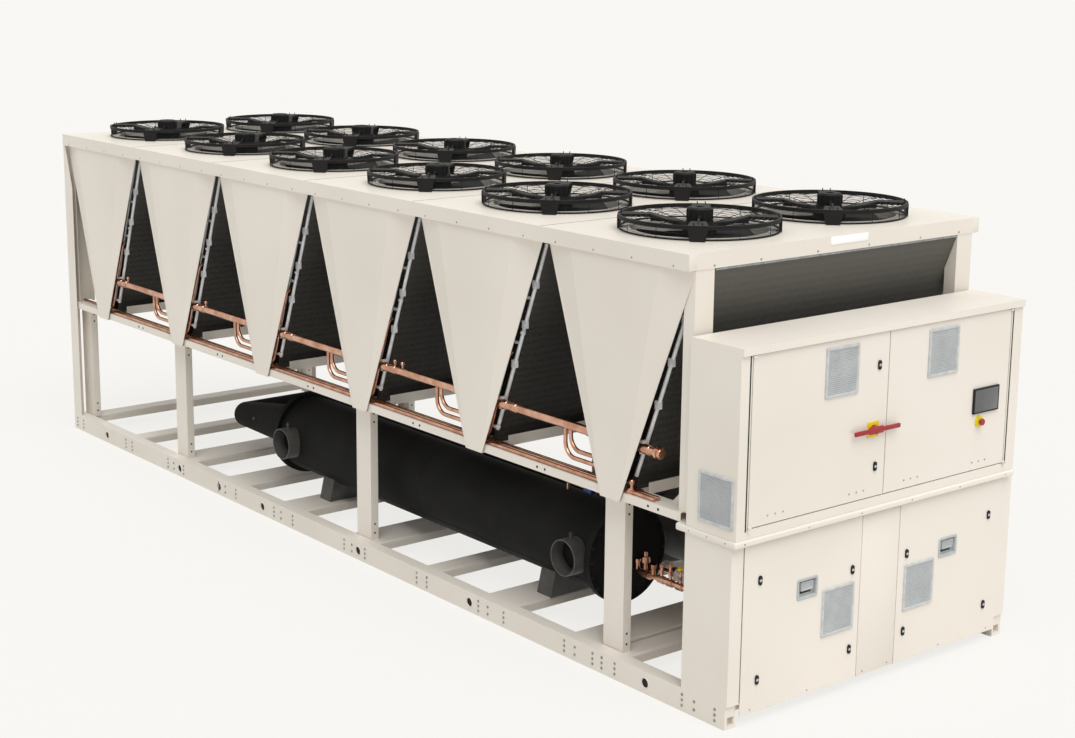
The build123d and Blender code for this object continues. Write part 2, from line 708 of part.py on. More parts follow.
def evaporator_shell():
    """Insulated shell with end flanges and shallow domed heads."""
    x0 = SHELL_X
    r, rf, t, h = SHELL_R, SHELL_FLANGE_R, SHELL_FLANGE_T, SHELL_HEAD
    bulge = (r * r + h * h) / (2 * h)
    pts = [(h, r), (h, rf), (h + t, rf), (h + t, r), (SHELL_L - h - t, r), (SHELL_L - h - t, rf),
           (SHELL_L - h, rf),
           (SHELL_L - h, r)]
    line = Polyline(*pts)
    rise = bulge * (cos(asin(r / bulge / 2)) - cos(asin(r / bulge)))
    far = ThreePointArc((SHELL_L - h, r), (SHELL_L - h + rise, r / 2), (SHELL_L, 0))
    near = ThreePointArc((0, 0), (h - rise, r / 2), (h, r))
    axis = Line((SHELL_L, 0), (0, 0))
    body = revolve(make_face(near + line + far + axis), axis=Axis.X)
    return [Pos(x0, SHELL_Y, SHELL_Z) * body]


def nozzle(x):
    """Water nozzle with a groove for a clamp coupling and a vent nipple on top."""
    y0, y1 = NOZZLE_MOUTH, SHELL_Y - SHELL_R * 0.9
    body = rod((x, y0, SHELL_Z), (x, y1, SHELL_Z), NOZZLE_R)
    groove = rod((x, y0 + GROOVE_IN, SHELL_Z), (x, y0 + GROOVE_IN + GROOVE_W, SHELL_Z), NOZZLE_R + 1)
    groove -= rod((x, y0, SHELL_Z), (x, y0 + GROOVE_IN + GROOVE_W + 1, SHELL_Z), NOZZLE_R - GROOVE_DEPTH)
    body -= groove
    vent_y = y0 + NIPPLE_IN
    body += rod((x, vent_y, SHELL_Z), (x, vent_y, SHELL_Z + NOZZLE_R + VENT_H), VENT_R)
    body -= rod((x, y0 - 1, SHELL_Z), (x, y0 + NOZZLE_FIT, SHELL_Z), NOZZLE_R - NOZZLE_WALL)
    body -= rod((x, y0 + NOZZLE_FIT, SHELL_Z), (x, y1 + 1, SHELL_Z), NOZZLE_R - NOZZLE_WALL + NOZZLE_RELIEF)
    shell = rod((SHELL_X + SHELL_HEAD, SHELL_Y, SHELL_Z), (SHELL_END - SHELL_HEAD, SHELL_Y, SHELL_Z), SHELL_R)
    return body - shell


def evaporator_nozzles():
    return [nozzle(NOZZLE_A), nozzle(NOZZLE_B)]


def evaporator_saddles():
    """Cradles that taper to the shell."""
    saddles = []
    z0 = CROSS_TOP
    shell = rod((SHELL_X, SHELL_Y, SHELL_Z), (SHELL_END, SHELL_Y, SHELL_Z), SHELL_R)
    for x in (SADDLE_A, SADDLE_B):
        foot, top, z1 = SADDLE_FOOT / 2, SADDLE_TOP / 2, SHELL_Z - SADDLE_BELOW
        outline = [(SHELL_Y - foot, z0), (SHELL_Y + foot, z0), (SHELL_Y + top, z1), (SHELL_Y - top, z1)]
        block = prism_x(outline, x - SADDLE_T / 2, x + SADDLE_T / 2)
        saddles.append(block - shell)
    return saddles


def suction_line():
    """Insulated outlet hood on the far head, narrowing to a pipe that runs back to the compressor."""
    hood_x, bend_x = SHELL_X + SHELL_HEAD, SHELL_X - SUCTION_OUT
    neck, hood = Vector(bend_x, SHELL_Y, SUCTION_Z), Vector(hood_x, SHELL_Y, SUCTION_HOOD_Z)
    pipe = Plane(origin=neck, z_dir=hood - neck) * Cone(SUCTION_R, SUCTION_HOOD_R, (hood - neck).length,
                                                        align=(Align.CENTER, Align.CENTER, Align.MIN))
    corner, back = (bend_x, SHELL_Y, SUCTION_Z), (bend_x, COMP_Y, SUCTION_Z)
    for start, end in ((corner, back), (back, (COMP_X0, COMP_Y, SUCTION_Z))):
        pipe += Pos(*start) * Sphere(SUCTION_R)
        pipe += rod(start, end, SUCTION_R)
    return [pipe - evaporator_shell()[0]]


def compressor():
    """Screw compressor with bolted end flanges on two feet."""
    body = rod((COMP_X0, COMP_Y, COMP_Z), (COMP_X1, COMP_Y, COMP_Z), COMP_R)
    middle = COMP_X0 + COMP_ROTOR_L
    for x in (COMP_X0, middle, COMP_X1 - COMP_FLANGE_T):
        body += rod((x, COMP_Y, COMP_Z), (x + COMP_FLANGE_T, COMP_Y, COMP_Z), COMP_FLANGE_R)
    for x in (CROSS_WIDE_XS[4], CROSS_WIDE_XS[5]):
        body += box(x - COMP_FOOT_W / 2, x + COMP_FOOT_W / 2, COMP_Y - COMP_FOOT_D / 2,
                    COMP_Y + COMP_FOOT_D / 2,
                    CROSS_TOP, COMP_Z)
    return [body]


def liquid_line():
    """Copper line from the evaporator to the cabinet with a shut-off valve and two service valves."""
    x0 = SHELL_END - SHELL_HEAD
    y, z = LIQUID_LINE_Y, LIQUID_LINE_Z
    line = rod((x0 - 5, y, z), (LOW_X, y, z), LIQUID_LINE_R)
    line += rod((VALVE_X - VALVE_L / 2, y, z), (VALVE_X + VALVE_L / 2, y, z), VALVE_BODY_R)
    line += rod((VALVE_X, y, z), (VALVE_X, y, VALVE_TOP), VALVE_STEM_R)
    line += rod((VALVE_X, y, VALVE_TOP - GLAND_IN - GLAND_H), (VALVE_X, y, VALVE_TOP - GLAND_IN),
                VALVE_BODY_R)
    for x in (VALVE_X - SERVICE_STEP, VALVE_X + SERVICE_STEP):
        line += rod((x, y, z), (x, y, z + SERVICE_H), VALVE_STEM_R)
        line += rod((x, y, z + SERVICE_H - SERVICE_CAP_H), (x, y, z + SERVICE_H), SERVICE_CAP_R)
    return line - evaporator_shell()[0]


def drier_line():
    """Drier shell on its own line between evaporator and cabinet."""
    x0 = SHELL_END - SHELL_HEAD
    line = rod((x0 - 5, DRIER_Y, DRIER_Z), (LOW_X, DRIER_Y, DRIER_Z), DRIER_PIPE_R)
    body = rod((DRIER_X, DRIER_Y, DRIER_Z), (DRIER_X + DRIER_L, DRIER_Y, DRIER_Z), DRIER_R)
    body = fillet(body.edges().filter_by(GeomType.CIRCLE), DRIER_R * 0.4)
    return line + body - evaporator_shell()[0]


def liquid_lines():
    return [liquid_line(), drier_line()]


def lower_cabinet():
    """Closed housing, with pockets behind the recessed grips of its panels."""
    body = box(LOW_X, LOW_FRONT, LOW_Y, WIDTH - LOW_Y, RAIL_H, BAND_LOW)
    for y in LOW_GRIP_YS:
        body -= box(LOW_FRONT + LOW_PANEL_T - LOW_GRIP_DEPTH, LOW_FRONT + 1, y - LOW_GRIP_W / 2,
                    y + LOW_GRIP_W / 2,
                    LOW_GRIP_Z - LOW_GRIP_H / 2, LOW_GRIP_Z + LOW_GRIP_H / 2)
    return [body]


def lower_panel_spans():
    """Y spans of the two lift-off panels."""
    mid = WIDTH / 2
    inner0, inner1 = mid - LOW_MIDDLE_W / 2, mid + LOW_MIDDLE_W / 2
    return [(LOW_Y + LOW_PANEL_EDGE, inner0 - LOW_SEAM), (inner1 + LOW_SEAM, WIDTH - LOW_Y - LOW_PANEL_EDGE)]


def vent(x, y, z, wide, tall):
    """Louvred vent standing proud of a face that looks along +X at x."""
    step = tall / VENT_LOUVRES
    louvres = box(x - 1, x + VENT_PROUD / 2, y - wide / 2, y + wide / 2, z - tall / 2, z + tall / 2)
    for k in range(VENT_LOUVRES):
        low = z - tall / 2 + (k + (1 - VENT_BLADE) / 2) * step
        louvres += prism_y([(x - 1, low), (x + VENT_PROUD, low), (x - 1, low + step * VENT_BLADE)],
                           y - wide / 2, y + wide / 2)
    return louvres


def lower_panels():
    """Two lift-off panels on the front of the lower cabinet, each with a vent and a recessed grip."""
    panels = []
    x0, x1 = LOW_FRONT, LOW_FRONT + LOW_PANEL_T
    for (a, b), vent_y, grip_y in zip(lower_panel_spans(), LOW_VENT_YS, LOW_GRIP_YS):
        panel = box(x0, x1, a, b, LOW_PANEL_LOW, LOW_PANEL_HIGH)
        panel -= box(x0 - 1, x1 + 1, grip_y - LOW_GRIP_W / 2, grip_y + LOW_GRIP_W / 2,
                     LOW_GRIP_Z - LOW_GRIP_H / 2,
                     LOW_GRIP_Z + LOW_GRIP_H / 2)
        panels.append(panel + vent(x1, vent_y, LOW_VENT_Z, LOW_VENT_W, LOW_VENT_H))
    return panels


def latch(x, y, z):
    """Wing latch with round ends on a face that looks along +X."""
    face = Plane(origin=(x, y, z), x_dir=(0, 0, 1), z_dir=(1, 0, 0)) * SlotOverall(LATCH_TALL, LATCH_W)
    return extrude(face, amount=LATCH_H, dir=(1, 0, 0))


def lower_latches():
    """Four wing latches on each lift-off panel."""
    latches = []
    x = LOW_FRONT + LOW_PANEL_T
    low, outer_high, inner_high = LOW_LATCH_ZS
    left, right = lower_panel_spans()
    outer_ys = (left[0] + LOW_LATCH_OUT, right[1] - LOW_LATCH_OUT)
    inner_ys = (left[1] - LOW_LATCH_IN, right[0] + LOW_LATCH_IN)
    for ys, high in ((outer_ys, outer_high), (inner_ys, inner_high)):
        for y in ys:
            for z in (low, high):
                latches.append(latch(x, y, z))
    return latches


def upper_cabinet():
    """Sheet box with a roof, a folded edge at its foot, a door frame, side vents and hinge knuckles."""
    z0, z1 = UP_LOW, UP_TOP
    body = box(UP_X, UP_FRONT, UP_Y, UP_Y + UP_W, z0, z1)
    body -= box(UP_X + UP_WALL, UP_FRONT - UP_WALL, UP_Y + UP_WALL, UP_Y + UP_W - UP_WALL, z0 + UP_WALL,
                z1 - UP_WALL)
    body -= box(UP_FRONT - UP_WALL - 1, UP_FRONT + 1, UP_Y + UP_JAMB + 20, UP_Y + UP_W - UP_JAMB_FAR - 20,
                z0 + UP_SILL + 20, z1 - UP_HEAD - 20)
    left, right, low, high = door_limits()
    body += box(UP_FRONT - UP_WALL, DOOR_FACE, UP_Y, left, z0, z1)
    body += box(UP_FRONT - UP_WALL, DOOR_FACE, right, UP_Y + UP_W, z0, z1)
    body += box(UP_FRONT - UP_WALL, DOOR_FACE, UP_Y, UP_Y + UP_W, z0, low)
    body += box(UP_X, DOOR_FACE + ROOF_OVER, UP_Y, UP_Y + UP_W, z1, z1 + ROOF_T)
    band = box(BAND_X, DOOR_FACE + BAND_PROUD, UP_Y - BAND_PROUD, UP_Y + UP_W + BAND_PROUD, BAND_LOW, z0)
    rounded = band.edges() - band.edges().group_by(Axis.X)[0]
    body += fillet(rounded, BAND_ROUND)
    for y, turn in ((UP_Y, -90), (UP_Y + UP_W, 90)):
        body += Pos(SIDE_VENT_X, y, SIDE_VENT_Z) * Rot(0, 0, turn) * vent(0, 0, 0, VENT_W, VENT_TALL)
    for x, y in hinge_axes():
        body += box(DOOR_FACE - 1, x + HINGE_EAR_R, y - HINGE_EAR_R, y + HINGE_EAR_R, low - HINGE_PIN_L - 2,
                    low)
        body -= rod((x, y, low - HINGE_PIN_L - 1), (x, y, low + 1), HINGE_PIN_R + SHAFT_FIT)
        body -= rod((x, y, high - 1), (x, y, high + HINGE_PIN_L + 1), HINGE_PIN_R + SHAFT_FIT)
    return [body]


def mounting_plate():
    """Galvanised plate on standoffs at the back of the upper cabinet."""
    x = UP_X + UP_WALL + PLATE_OFF
    y0, y1 = UP_Y + PLATE_MARGIN, UP_Y + UP_W - PLATE_MARGIN
    z0, z1 = UP_LOW + PLATE_MARGIN, UP_TOP - PLATE_MARGIN
    plate = box(x, x + PLATE_T, y0, y1, z0, z1)
    for y in (y0 + STANDOFF_IN, y1 - STANDOFF_IN):
        for z in (z0 + STANDOFF_IN, z1 - STANDOFF_IN):
            plate += rod((UP_X + UP_WALL, y, z), (x + 1, y, z), STANDOFF_R)
    return [plate]


def switchgear():
    """Starters, controller and terminal rail on the plate."""
    x = UP_X + UP_WALL + PLATE_OFF + PLATE_T
    y0, z0 = UP_Y + PLATE_MARGIN, UP_LOW + PLATE_MARGIN
    gear = []
    for k in range(STARTERS):
        y, z = y0 + GEAR_IN + k * STARTER_STEP, z0 + STARTER_LOW
        gear.append(box(x, x + STARTER_T, y, y + STARTER_W, z, z + STARTER_W))
    for k in range(RELAYS):
        y, z = y0 + GEAR_IN + k * RELAY_STEP, z0 + RELAY_LOW
        gear.append(box(x, x + RELAY_T, y, y + RELAY_W, z, z + RELAY_H))
    y, z = y0 + CONTROLLER_IN, z0 + CONTROLLER_LOW
    gear.append(box(x, x + CONTROLLER_T, y, y + CONTROLLER_W, z, z + CONTROLLER_H))
    y, z = y0 + TERMINALS_IN, z0 + TERMINALS_LOW
    gear.append(box(x, x + TERMINALS_T, y, y + TERMINALS_L, z, z + TERMINALS_T))
    return gear


def door_limits():
    """Edges of the door opening: nozzle side, other side, low, high."""
    return UP_Y + UP_JAMB, UP_Y + UP_W - UP_JAMB_FAR, UP_LOW + UP_SILL, UP_TOP


def hinge_axes():
    """The two vertical pin lines, in front of the gaps beside the doors."""
    left, right, _, _ = door_limits()
    return [(DOOR_FACE + HINGE_OUT, left + DOOR_GAP / 2), (DOOR_FACE + HINGE_OUT, right - DOOR_GAP / 2)]


def door(y0, y1, vent_y, hinge):
    """Folded door leaf with a louvred vent, turning on a pin at the top and one at the bottom."""
    _, _, low, high = door_limits()
    z0, z1 = low + DOOR_GAP, high - DOOR_GAP
    x0, x1 = DOOR_FACE - DOOR_T, DOOR_FACE
    leaf = box(x0, x1, y0, y1, z0, z1)
    leaf -= box(x0 - 1, x1 - DOOR_SKIN, y0 + DOOR_SKIN, y1 - DOOR_SKIN, z0 + DOOR_SKIN, z1 - DOOR_SKIN)
    leaf += vent(x1, vent_y, VENT_Z, VENT_W, VENT_TALL)
    hx, hy = hinge
    inward = 1 if hy < DOOR_SEAM else -1
    for z, way in ((z0, -1), (z1, 1)):
        ear_end = z - way * HINGE_EAR_H
        leaf += rod((hx, hy, min(z, ear_end)), (hx, hy, max(z, ear_end)), HINGE_EAR_R)
        ear = sorted((hy, hy + inward * HINGE_EAR_L))
        leaf += box(x1 - 1, hx + HINGE_EAR_R, *ear, min(z, ear_end), max(z, ear_end))
        pin = sorted((z - way, z + way * (DOOR_GAP + HINGE_PIN_L - 2)))
        leaf += rod((hx, hy, pin[0]), (hx, hy, pin[1]), HINGE_PIN_R)
    return leaf


def door_left():
    y0, _, _, _ = door_limits()
    return [door(y0 + DOOR_GAP, DOOR_SEAM - DOOR_GAP / 2, VENT_LEFT_Y, hinge_axes()[0])]


def door_right():
    _, y1, _, _ = door_limits()
    return [door(DOOR_SEAM + DOOR_GAP / 2, y1 - DOOR_GAP, VENT_RIGHT_Y, hinge_axes()[1])]


def door_latches():
    """Two wing latches beside the seam."""
    return [latch(DOOR_FACE, DOOR_SEAM - LATCH_BACK, z) for z in LATCH_ZS]


def switch_plate():
    """Yellow plate under the main switch, with the shaft collar."""
    x, h = DOOR_FACE, SWITCH_PLATE / 2
    plate = box(x, x + SWITCH_PLATE_T, SWITCH_Y - h, SWITCH_Y + h, SWITCH_Z - h, SWITCH_Z + h)
    return [plate]


def main_switch_handle():
    """Pistol-grip handle that turns on the switch shaft."""
    x = DOOR_FACE + SWITCH_PLATE_T + SWITCH_OFF
    hub = rod((x, SWITCH_Y, SWITCH_Z), (x + SWITCH_HUB_L, SWITCH_Y, SWITCH_Z), SWITCH_HUB_R)
    y0 = SWITCH_Y - SWITCH_LONG / 2 - SWITCH_SHIFT
    grip = box(x + SWITCH_HUB_L - SWITCH_THICK, x + SWITCH_HUB_L, y0, y0 + SWITCH_LONG,
               SWITCH_Z - SWITCH_WIDE / 2,
               SWITCH_Z + SWITCH_WIDE / 2)
    return [hub + grip]


def display_screen():
    x = DOOR_FACE
    y0, y1 = SCREEN_Y - SCREEN_W / 2, SCREEN_Y + SCREEN_W / 2
    z0, z1 = SCREEN_Z - SCREEN_H / 2, SCREEN_Z + SCREEN_H / 2
    frame = box(x, x + SCREEN_T, y0, y1, z0, z1)
    frame -= box(x + SCREEN_T - SCREEN_DISH, x + SCREEN_T + 1, y0 + SCREEN_SIDE, y1 - SCREEN_SIDE,
                 z0 + SCREEN_RIM, z1 - SCREEN_RIM)
    return [frame]


def estop_collar():
    x = DOOR_FACE
    ring = rod((x, STOP_Y, STOP_Z), (x + STOP_RING_T, STOP_Y, STOP_Z), STOP_RING_R)
    return [ring - rod((x + 1, STOP_Y, STOP_Z), (x + STOP_RING_T + 1, STOP_Y, STOP_Z),
                       STOP_STEM_R + STOP_FIT)]


def estop_button():
    """Mushroom head on a stem, with its travel left free above the collar."""
    x = DOOR_FACE
    seat = x + STOP_RING_T + STOP_TRAVEL + STOP_LIFT
    stem = rod((x + STOP_STEM_IN + STOP_TRAVEL, STOP_Y, STOP_Z), (seat + 1, STOP_Y, STOP_Z), STOP_STEM_R)
    head = rod((seat, STOP_Y, STOP_Z), (seat + STOP_HEAD_T, STOP_Y, STOP_Z), STOP_HEAD_R)
    head = fillet(head.edges().sort_by(Axis.X)[-1], STOP_ROUND)
    return [stem + head]


NODES = {
    "base_rails": base_rails, "base_cross_members": base_cross_members,
    "frame_posts": frame_posts, "mid_rails": mid_rails, "coil_troughs": coil_troughs,
    "v_side_panels": v_side_panels, "condenser_coils": condenser_coils, "coil_headers": coil_headers,
    "copper_lines": copper_lines, "fan_deck": fan_deck, "deck_fascias": deck_fascias,
    "fan_guards": fan_guards,
    "fan_motors": fan_motors, "evaporator_shell": evaporator_shell, "evaporator_nozzles": evaporator_nozzles,
    "evaporator_saddles": evaporator_saddles, "suction_line": suction_line,
    "compressor": compressor, "liquid_lines": liquid_lines, "lower_cabinet": lower_cabinet,
    "lower_panels": lower_panels, "lower_latches": lower_latches, "upper_cabinet": upper_cabinet,
    "mounting_plate": mounting_plate, "switchgear": switchgear, "door_left": door_left,
    "door_latches": door_latches, "switch_plate": switch_plate, "main_switch_handle": main_switch_handle,
    "door_right": door_right, "display_screen": display_screen, "estop_collar": estop_collar,
    "estop_button": estop_button,
}
for number, (fan_x, fan_y) in enumerate([(x, y) for y in FAN_YS for x in FAN_XS], 1):
    NODES[f"fan_rotor_{number:02d}"] = lambda a=fan_x, b=fan_y: [fan_rotor(a, b)]

for name, make in NODES.items():
    pieces = [Pos(-LENGTH / 2, -WIDTH / 2, 0) * piece for piece in make()]
    solids = [s for piece in pieces for s in piece.solids()]
    export_step(solids[0] if len(solids) == 1 else Compound(solids), f"parts/{name}.step")
    box_now = Compound(solids).bounding_box()
    print(f"{name:22s} {len(solids):3d} solids  x {box_now.min.X:8.1f} {box_now.max.X:8.1f}"
          f"  y {box_now.min.Y:8.1f} {box_now.max.Y:8.1f}  z {box_now.min.Z:7.1f} {box_now.max.Z:7.1f}")
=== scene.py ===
# %% [markdown]
# # An air-cooled screw chiller, dressed for the camera
# The solid model of the machine arrives as a fixed frame: base, posts, coils, fans, cabinets.
# In this lesson we light it, give each surface its finish, and add the small things that a
# solid model leaves out, such as wire guards, louvres, seals, seams and screws.

# %% Load the frame
import json
import math

import bmesh
import bpy
from mathutils import Matrix, Vector


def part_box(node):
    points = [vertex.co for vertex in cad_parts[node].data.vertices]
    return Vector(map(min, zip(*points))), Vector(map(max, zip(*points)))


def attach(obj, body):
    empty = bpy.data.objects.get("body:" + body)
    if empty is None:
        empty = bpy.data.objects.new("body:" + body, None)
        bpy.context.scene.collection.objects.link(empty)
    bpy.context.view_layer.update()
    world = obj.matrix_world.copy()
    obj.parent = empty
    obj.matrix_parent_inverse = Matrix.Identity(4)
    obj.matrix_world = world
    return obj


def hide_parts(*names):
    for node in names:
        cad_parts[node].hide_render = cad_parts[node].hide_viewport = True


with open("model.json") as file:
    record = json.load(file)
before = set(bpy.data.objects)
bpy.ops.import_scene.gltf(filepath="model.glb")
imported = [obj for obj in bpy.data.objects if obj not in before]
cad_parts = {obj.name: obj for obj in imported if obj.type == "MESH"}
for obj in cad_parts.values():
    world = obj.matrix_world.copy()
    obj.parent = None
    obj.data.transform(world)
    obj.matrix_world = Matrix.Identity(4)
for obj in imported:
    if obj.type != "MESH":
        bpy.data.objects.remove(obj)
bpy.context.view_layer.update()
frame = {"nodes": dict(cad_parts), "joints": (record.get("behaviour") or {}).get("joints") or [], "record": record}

# %% [markdown]
# ## The camera
# A long machine seen from a corner shows its perspective strongly, so the camera has to stand
# where the photographer stood. Its place and its three angles are written as numbers. They could
# be found by eye, but a machine with many straight edges lets us work them out from those edges.

# %% Camera
YAW, PITCH, ROLL = (math.radians(a) for a in (51.204, 12.043, -0.539))
CAMERA_PLACE = Vector((9.835, -7.313, 3.851))
PICTURE_W, PICTURE_H = 1075, 738
FOCAL = 1842.245
AXIS_U, AXIS_V = 530.811, 340.480
SENSOR, CLIP_FAR = 36, 1000
forward = Vector((-math.sin(YAW) * math.cos(PITCH), math.cos(YAW) * math.cos(PITCH), -math.sin(PITCH)))
level = Vector((math.cos(YAW), math.sin(YAW), 0))
down = forward.cross(level)
right = level * math.cos(ROLL) + down * math.sin(ROLL)
up = level * math.sin(ROLL) - down * math.cos(ROLL)

scene = bpy.context.scene
camera_data = bpy.data.cameras.new("camera")
camera = bpy.data.objects.new("camera", camera_data)
scene.collection.objects.link(camera)
camera.matrix_world = Matrix.Translation(CAMERA_PLACE) @ Matrix((right, up, -forward)).transposed().to_4x4()
camera_data.sensor_width = SENSOR
camera_data.lens = FOCAL / PICTURE_W * SENSOR
camera_data.shift_x = (PICTURE_W / 2 - AXIS_U) / PICTURE_W
camera_data.shift_y = -(PICTURE_H / 2 - AXIS_V) / PICTURE_W
camera_data.clip_end = CLIP_FAR
scene.camera = camera
print("lens", round(camera_data.lens, 2), "mm")
print("shift", round(camera_data.shift_x, 4), round(camera_data.shift_y, 4))

# %% [markdown]
# ## Colours and surfaces
# Every finish below starts from one plain shader. Small helpers let its colour drift between close
# tones, lay a second tone over it, vary its gloss and raise a fine grain. All use the object's own
# coordinates, so a pattern keeps its real size on every piece.

# %% Helpers for finishes
def srgb(red, green, blue):
    """A colour picked as 0-255 values, turned into linear light."""
    linear = [((v / 255 + 0.055) / 1.055) ** 2.4 for v in (red, green, blue)]
    return (*linear, 1)

def surface(name, colour, roughness, metallic=0.0):
    """A new material with its shader, ready for patterns."""
    material = bpy.data.materials.new(name)
    material.use_nodes = True
    material.diffuse_color = colour
    shader = material.node_tree.nodes["Principled BSDF"]
    shader.inputs["Base Color"].default_value = colour
    shader.inputs["Roughness"].default_value = roughness
    shader.inputs["Metallic"].default_value = metallic
    return material, material.node_tree, shader

def noise(tree, scale, detail=3.0, stretch=(1, 1, 1)):
    """Noise in the object's own metres; stretch draws it out along an axis."""
    place = tree.nodes.new("ShaderNodeTexCoord")
    mapping = tree.nodes.new("ShaderNodeMapping")
    mapping.inputs["Scale"].default_value = stretch
    texture = tree.nodes.new("ShaderNodeTexNoise")
    texture.inputs["Scale"].default_value = scale
    texture.inputs["Detail"].default_value = detail
    tree.links.new(place.outputs["Object"], mapping.inputs["Vector"])
    tree.links.new(mapping.outputs["Vector"], texture.inputs["Vector"])
    return texture.outputs["Fac"]

def bands(tree, direction, period, distortion=0.0):
    """Even bands across the given axis, one per period in metres."""
    place = tree.nodes.new("ShaderNodeTexCoord")
    wave = tree.nodes.new("ShaderNodeTexWave")
    wave.wave_type = "BANDS"
    wave.bands_direction = direction
    wave.inputs["Scale"].default_value = 2 * math.pi / (20 * period)
    wave.inputs["Distortion"].default_value = distortion
    tree.links.new(place.outputs["Object"], wave.inputs["Vector"])
    return wave.outputs["Fac"]

def drift(tree, shader, fac, first, second, low=0.35, high=0.65):
    """Colour that goes from the first tone to the second as the pattern rises."""
    ramp = tree.nodes.new("ShaderNodeValToRGB")
    ramp.color_ramp.elements[0].position = low
    ramp.color_ramp.elements[0].color = first
    ramp.color_ramp.elements[1].position = high
    ramp.color_ramp.elements[1].color = second
    tree.links.new(fac, ramp.inputs["Fac"])
    tree.links.new(ramp.outputs["Color"], shader.inputs["Base Color"])
    return ramp

def overlay(tree, shader, fac, tone, amount):
    """Lays a second tone over the colour where its pattern is high."""
    below = shader.inputs["Base Color"].links[0].from_socket
    scaled = tree.nodes.new("ShaderNodeMath")
    scaled.operation = "MULTIPLY"
    scaled.inputs[1].default_value = amount
    mix = tree.nodes.new("ShaderNodeMix")
    mix.data_type = "RGBA"
    mix.inputs["B"].default_value = tone
    tree.links.new(fac, scaled.inputs[0])
    tree.links.new(scaled.outputs[0], mix.inputs["Factor"])
    tree.links.new(below, mix.inputs["A"])
    tree.links.new(mix.outputs["Result"], shader.inputs["Base Color"])

def relief(tree, shader, fac, strength, depth):
    """Bump from a pattern; a second call lies on top of the first."""
    bump = tree.nodes.new("ShaderNodeBump")
    bump.inputs["Strength"].default_value = strength
    bump.inputs["Distance"].default_value = depth
    if shader.inputs["Normal"].links:
        tree.links.new(shader.inputs["Normal"].links[0].from_socket, bump.inputs["Normal"])
    tree.links.new(fac, bump.inputs["Height"])
    tree.links.new(bump.outputs["Normal"], shader.inputs["Normal"])

def uneven_gloss(tree, shader, fac, low, high):
    """Roughness that wanders between two values."""
    span = tree.nodes.new("ShaderNodeMapRange")
    span.inputs["To Min"].default_value = low
    span.inputs["To Max"].default_value = high
    tree.links.new(fac, span.inputs["Value"])
    tree.links.new(span.outputs["Result"], shader.inputs["Roughness"])

# %% [markdown]
# ### Painted and metal finishes
# The sheet metal is powder coated in a warm light grey. Baked powder never lies quite flat: it has
# a fine orange-peel skin, so we give it a very low bump and a gloss that wanders a little, and the
# tone drifts by a percent or two over a metre. The wire guards and arms are black, the nozzles and
# saddles have a plain grey primer.

# %% Painted and metal finishes
def powder_coat():
    material, tree, shader = surface("powder_coat", srgb(226, 219, 208), 0.45)
    drift(tree, shader, noise(tree, 0.9, 2), srgb(223, 216, 205), srgb(229, 222, 212))
    overlay(tree, shader, noise(tree, 7.0, 5), srgb(205, 198, 187), 0.07)
    uneven_gloss(tree, shader, noise(tree, 3.0), 0.40, 0.52)
    relief(tree, shader, noise(tree, 420.0, 2), 0.12, 0.0006)
    return material

def black_coat(name="black_coat"):
    material, tree, shader = surface(name, srgb(18, 18, 18), 0.6)
    shader.inputs["Specular IOR Level"].default_value = 0.25
    drift(tree, shader, noise(tree, 9.0), srgb(13, 13, 13), srgb(23, 22, 22))
    relief(tree, shader, noise(tree, 300.0), 0.2, 0.0006)
    return material

def ring_and_guard(height):
    """Black coat above a height, and the deck's light coat on the ring below it."""
    material = black_coat("ring_and_guard")
    tree = material.node_tree
    shader = tree.nodes["Principled BSDF"]
    place = tree.nodes.new("ShaderNodeTexCoord")
    split = tree.nodes.new("ShaderNodeSeparateXYZ")
    below = tree.nodes.new("ShaderNodeMath")
    below.operation = "LESS_THAN"
    below.inputs[1].default_value = height
    tree.links.new(place.outputs["Object"], split.inputs["Vector"])
    tree.links.new(split.outputs["Z"], below.inputs[0])
    overlay(tree, shader, below.outputs[0], srgb(200, 195, 186), 1.0)
    return material

# this black also paints the shade inside the lifting holes
def black_moulding_and_hole_shade():
    material, tree, shader = surface("black_moulding_and_hole_shade", srgb(20, 20, 20), 0.6)
    shader.inputs["Specular IOR Level"].default_value = 0.3
    drift(tree, shader, noise(tree, 14.0), srgb(15, 15, 15), srgb(26, 26, 26))
    relief(tree, shader, noise(tree, 900.0), 0.25, 0.0003)
    return material

def primer_grey():
    material, tree, shader = surface("primer_grey", srgb(70, 69, 67), 0.6)
    drift(tree, shader, noise(tree, 11.0, 5), srgb(64, 63, 61), srgb(82, 81, 78))
    overlay(tree, shader, noise(tree, 60.0, 5), srgb(96, 94, 88), 0.18)
    relief(tree, shader, noise(tree, 250.0, 4), 0.3, 0.0008)
    return material

def drawn_copper():
    material, tree, shader = surface("drawn_copper", srgb(206, 156, 130), 0.22, 1.0)
    drift(tree, shader, noise(tree, 14.0, 4), srgb(188, 136, 110), srgb(220, 176, 152))
    overlay(tree, shader, noise(tree, 70.0, 6, (1, 4, 4)), srgb(120, 72, 50), 0.22)
    uneven_gloss(tree, shader, noise(tree, 30.0), 0.16, 0.30)
    relief(tree, shader, noise(tree, 160.0, 3, (0.3, 4, 4)), 0.06, 0.0004)
    return material

def drawn_aluminium():
    material, tree, shader = surface("drawn_aluminium", srgb(236, 237, 238), 0.4, 0.1)
    drift(tree, shader, noise(tree, 20.0, 4), srgb(226, 227, 228), srgb(246, 247, 248))
    relief(tree, shader, noise(tree, 240.0, 2, (4, 4, 0.3)), 0.15, 0.0004)
    return material

def galvanised_sheet():
    material, tree, shader = surface("galvanised_sheet", srgb(150, 152, 152), 0.45, 0.7)
    drift(tree, shader, noise(tree, 30.0, 6), srgb(132, 135, 136), srgb(168, 170, 170))
    relief(tree, shader, noise(tree, 60.0, 4), 0.1, 0.0004)
    return material
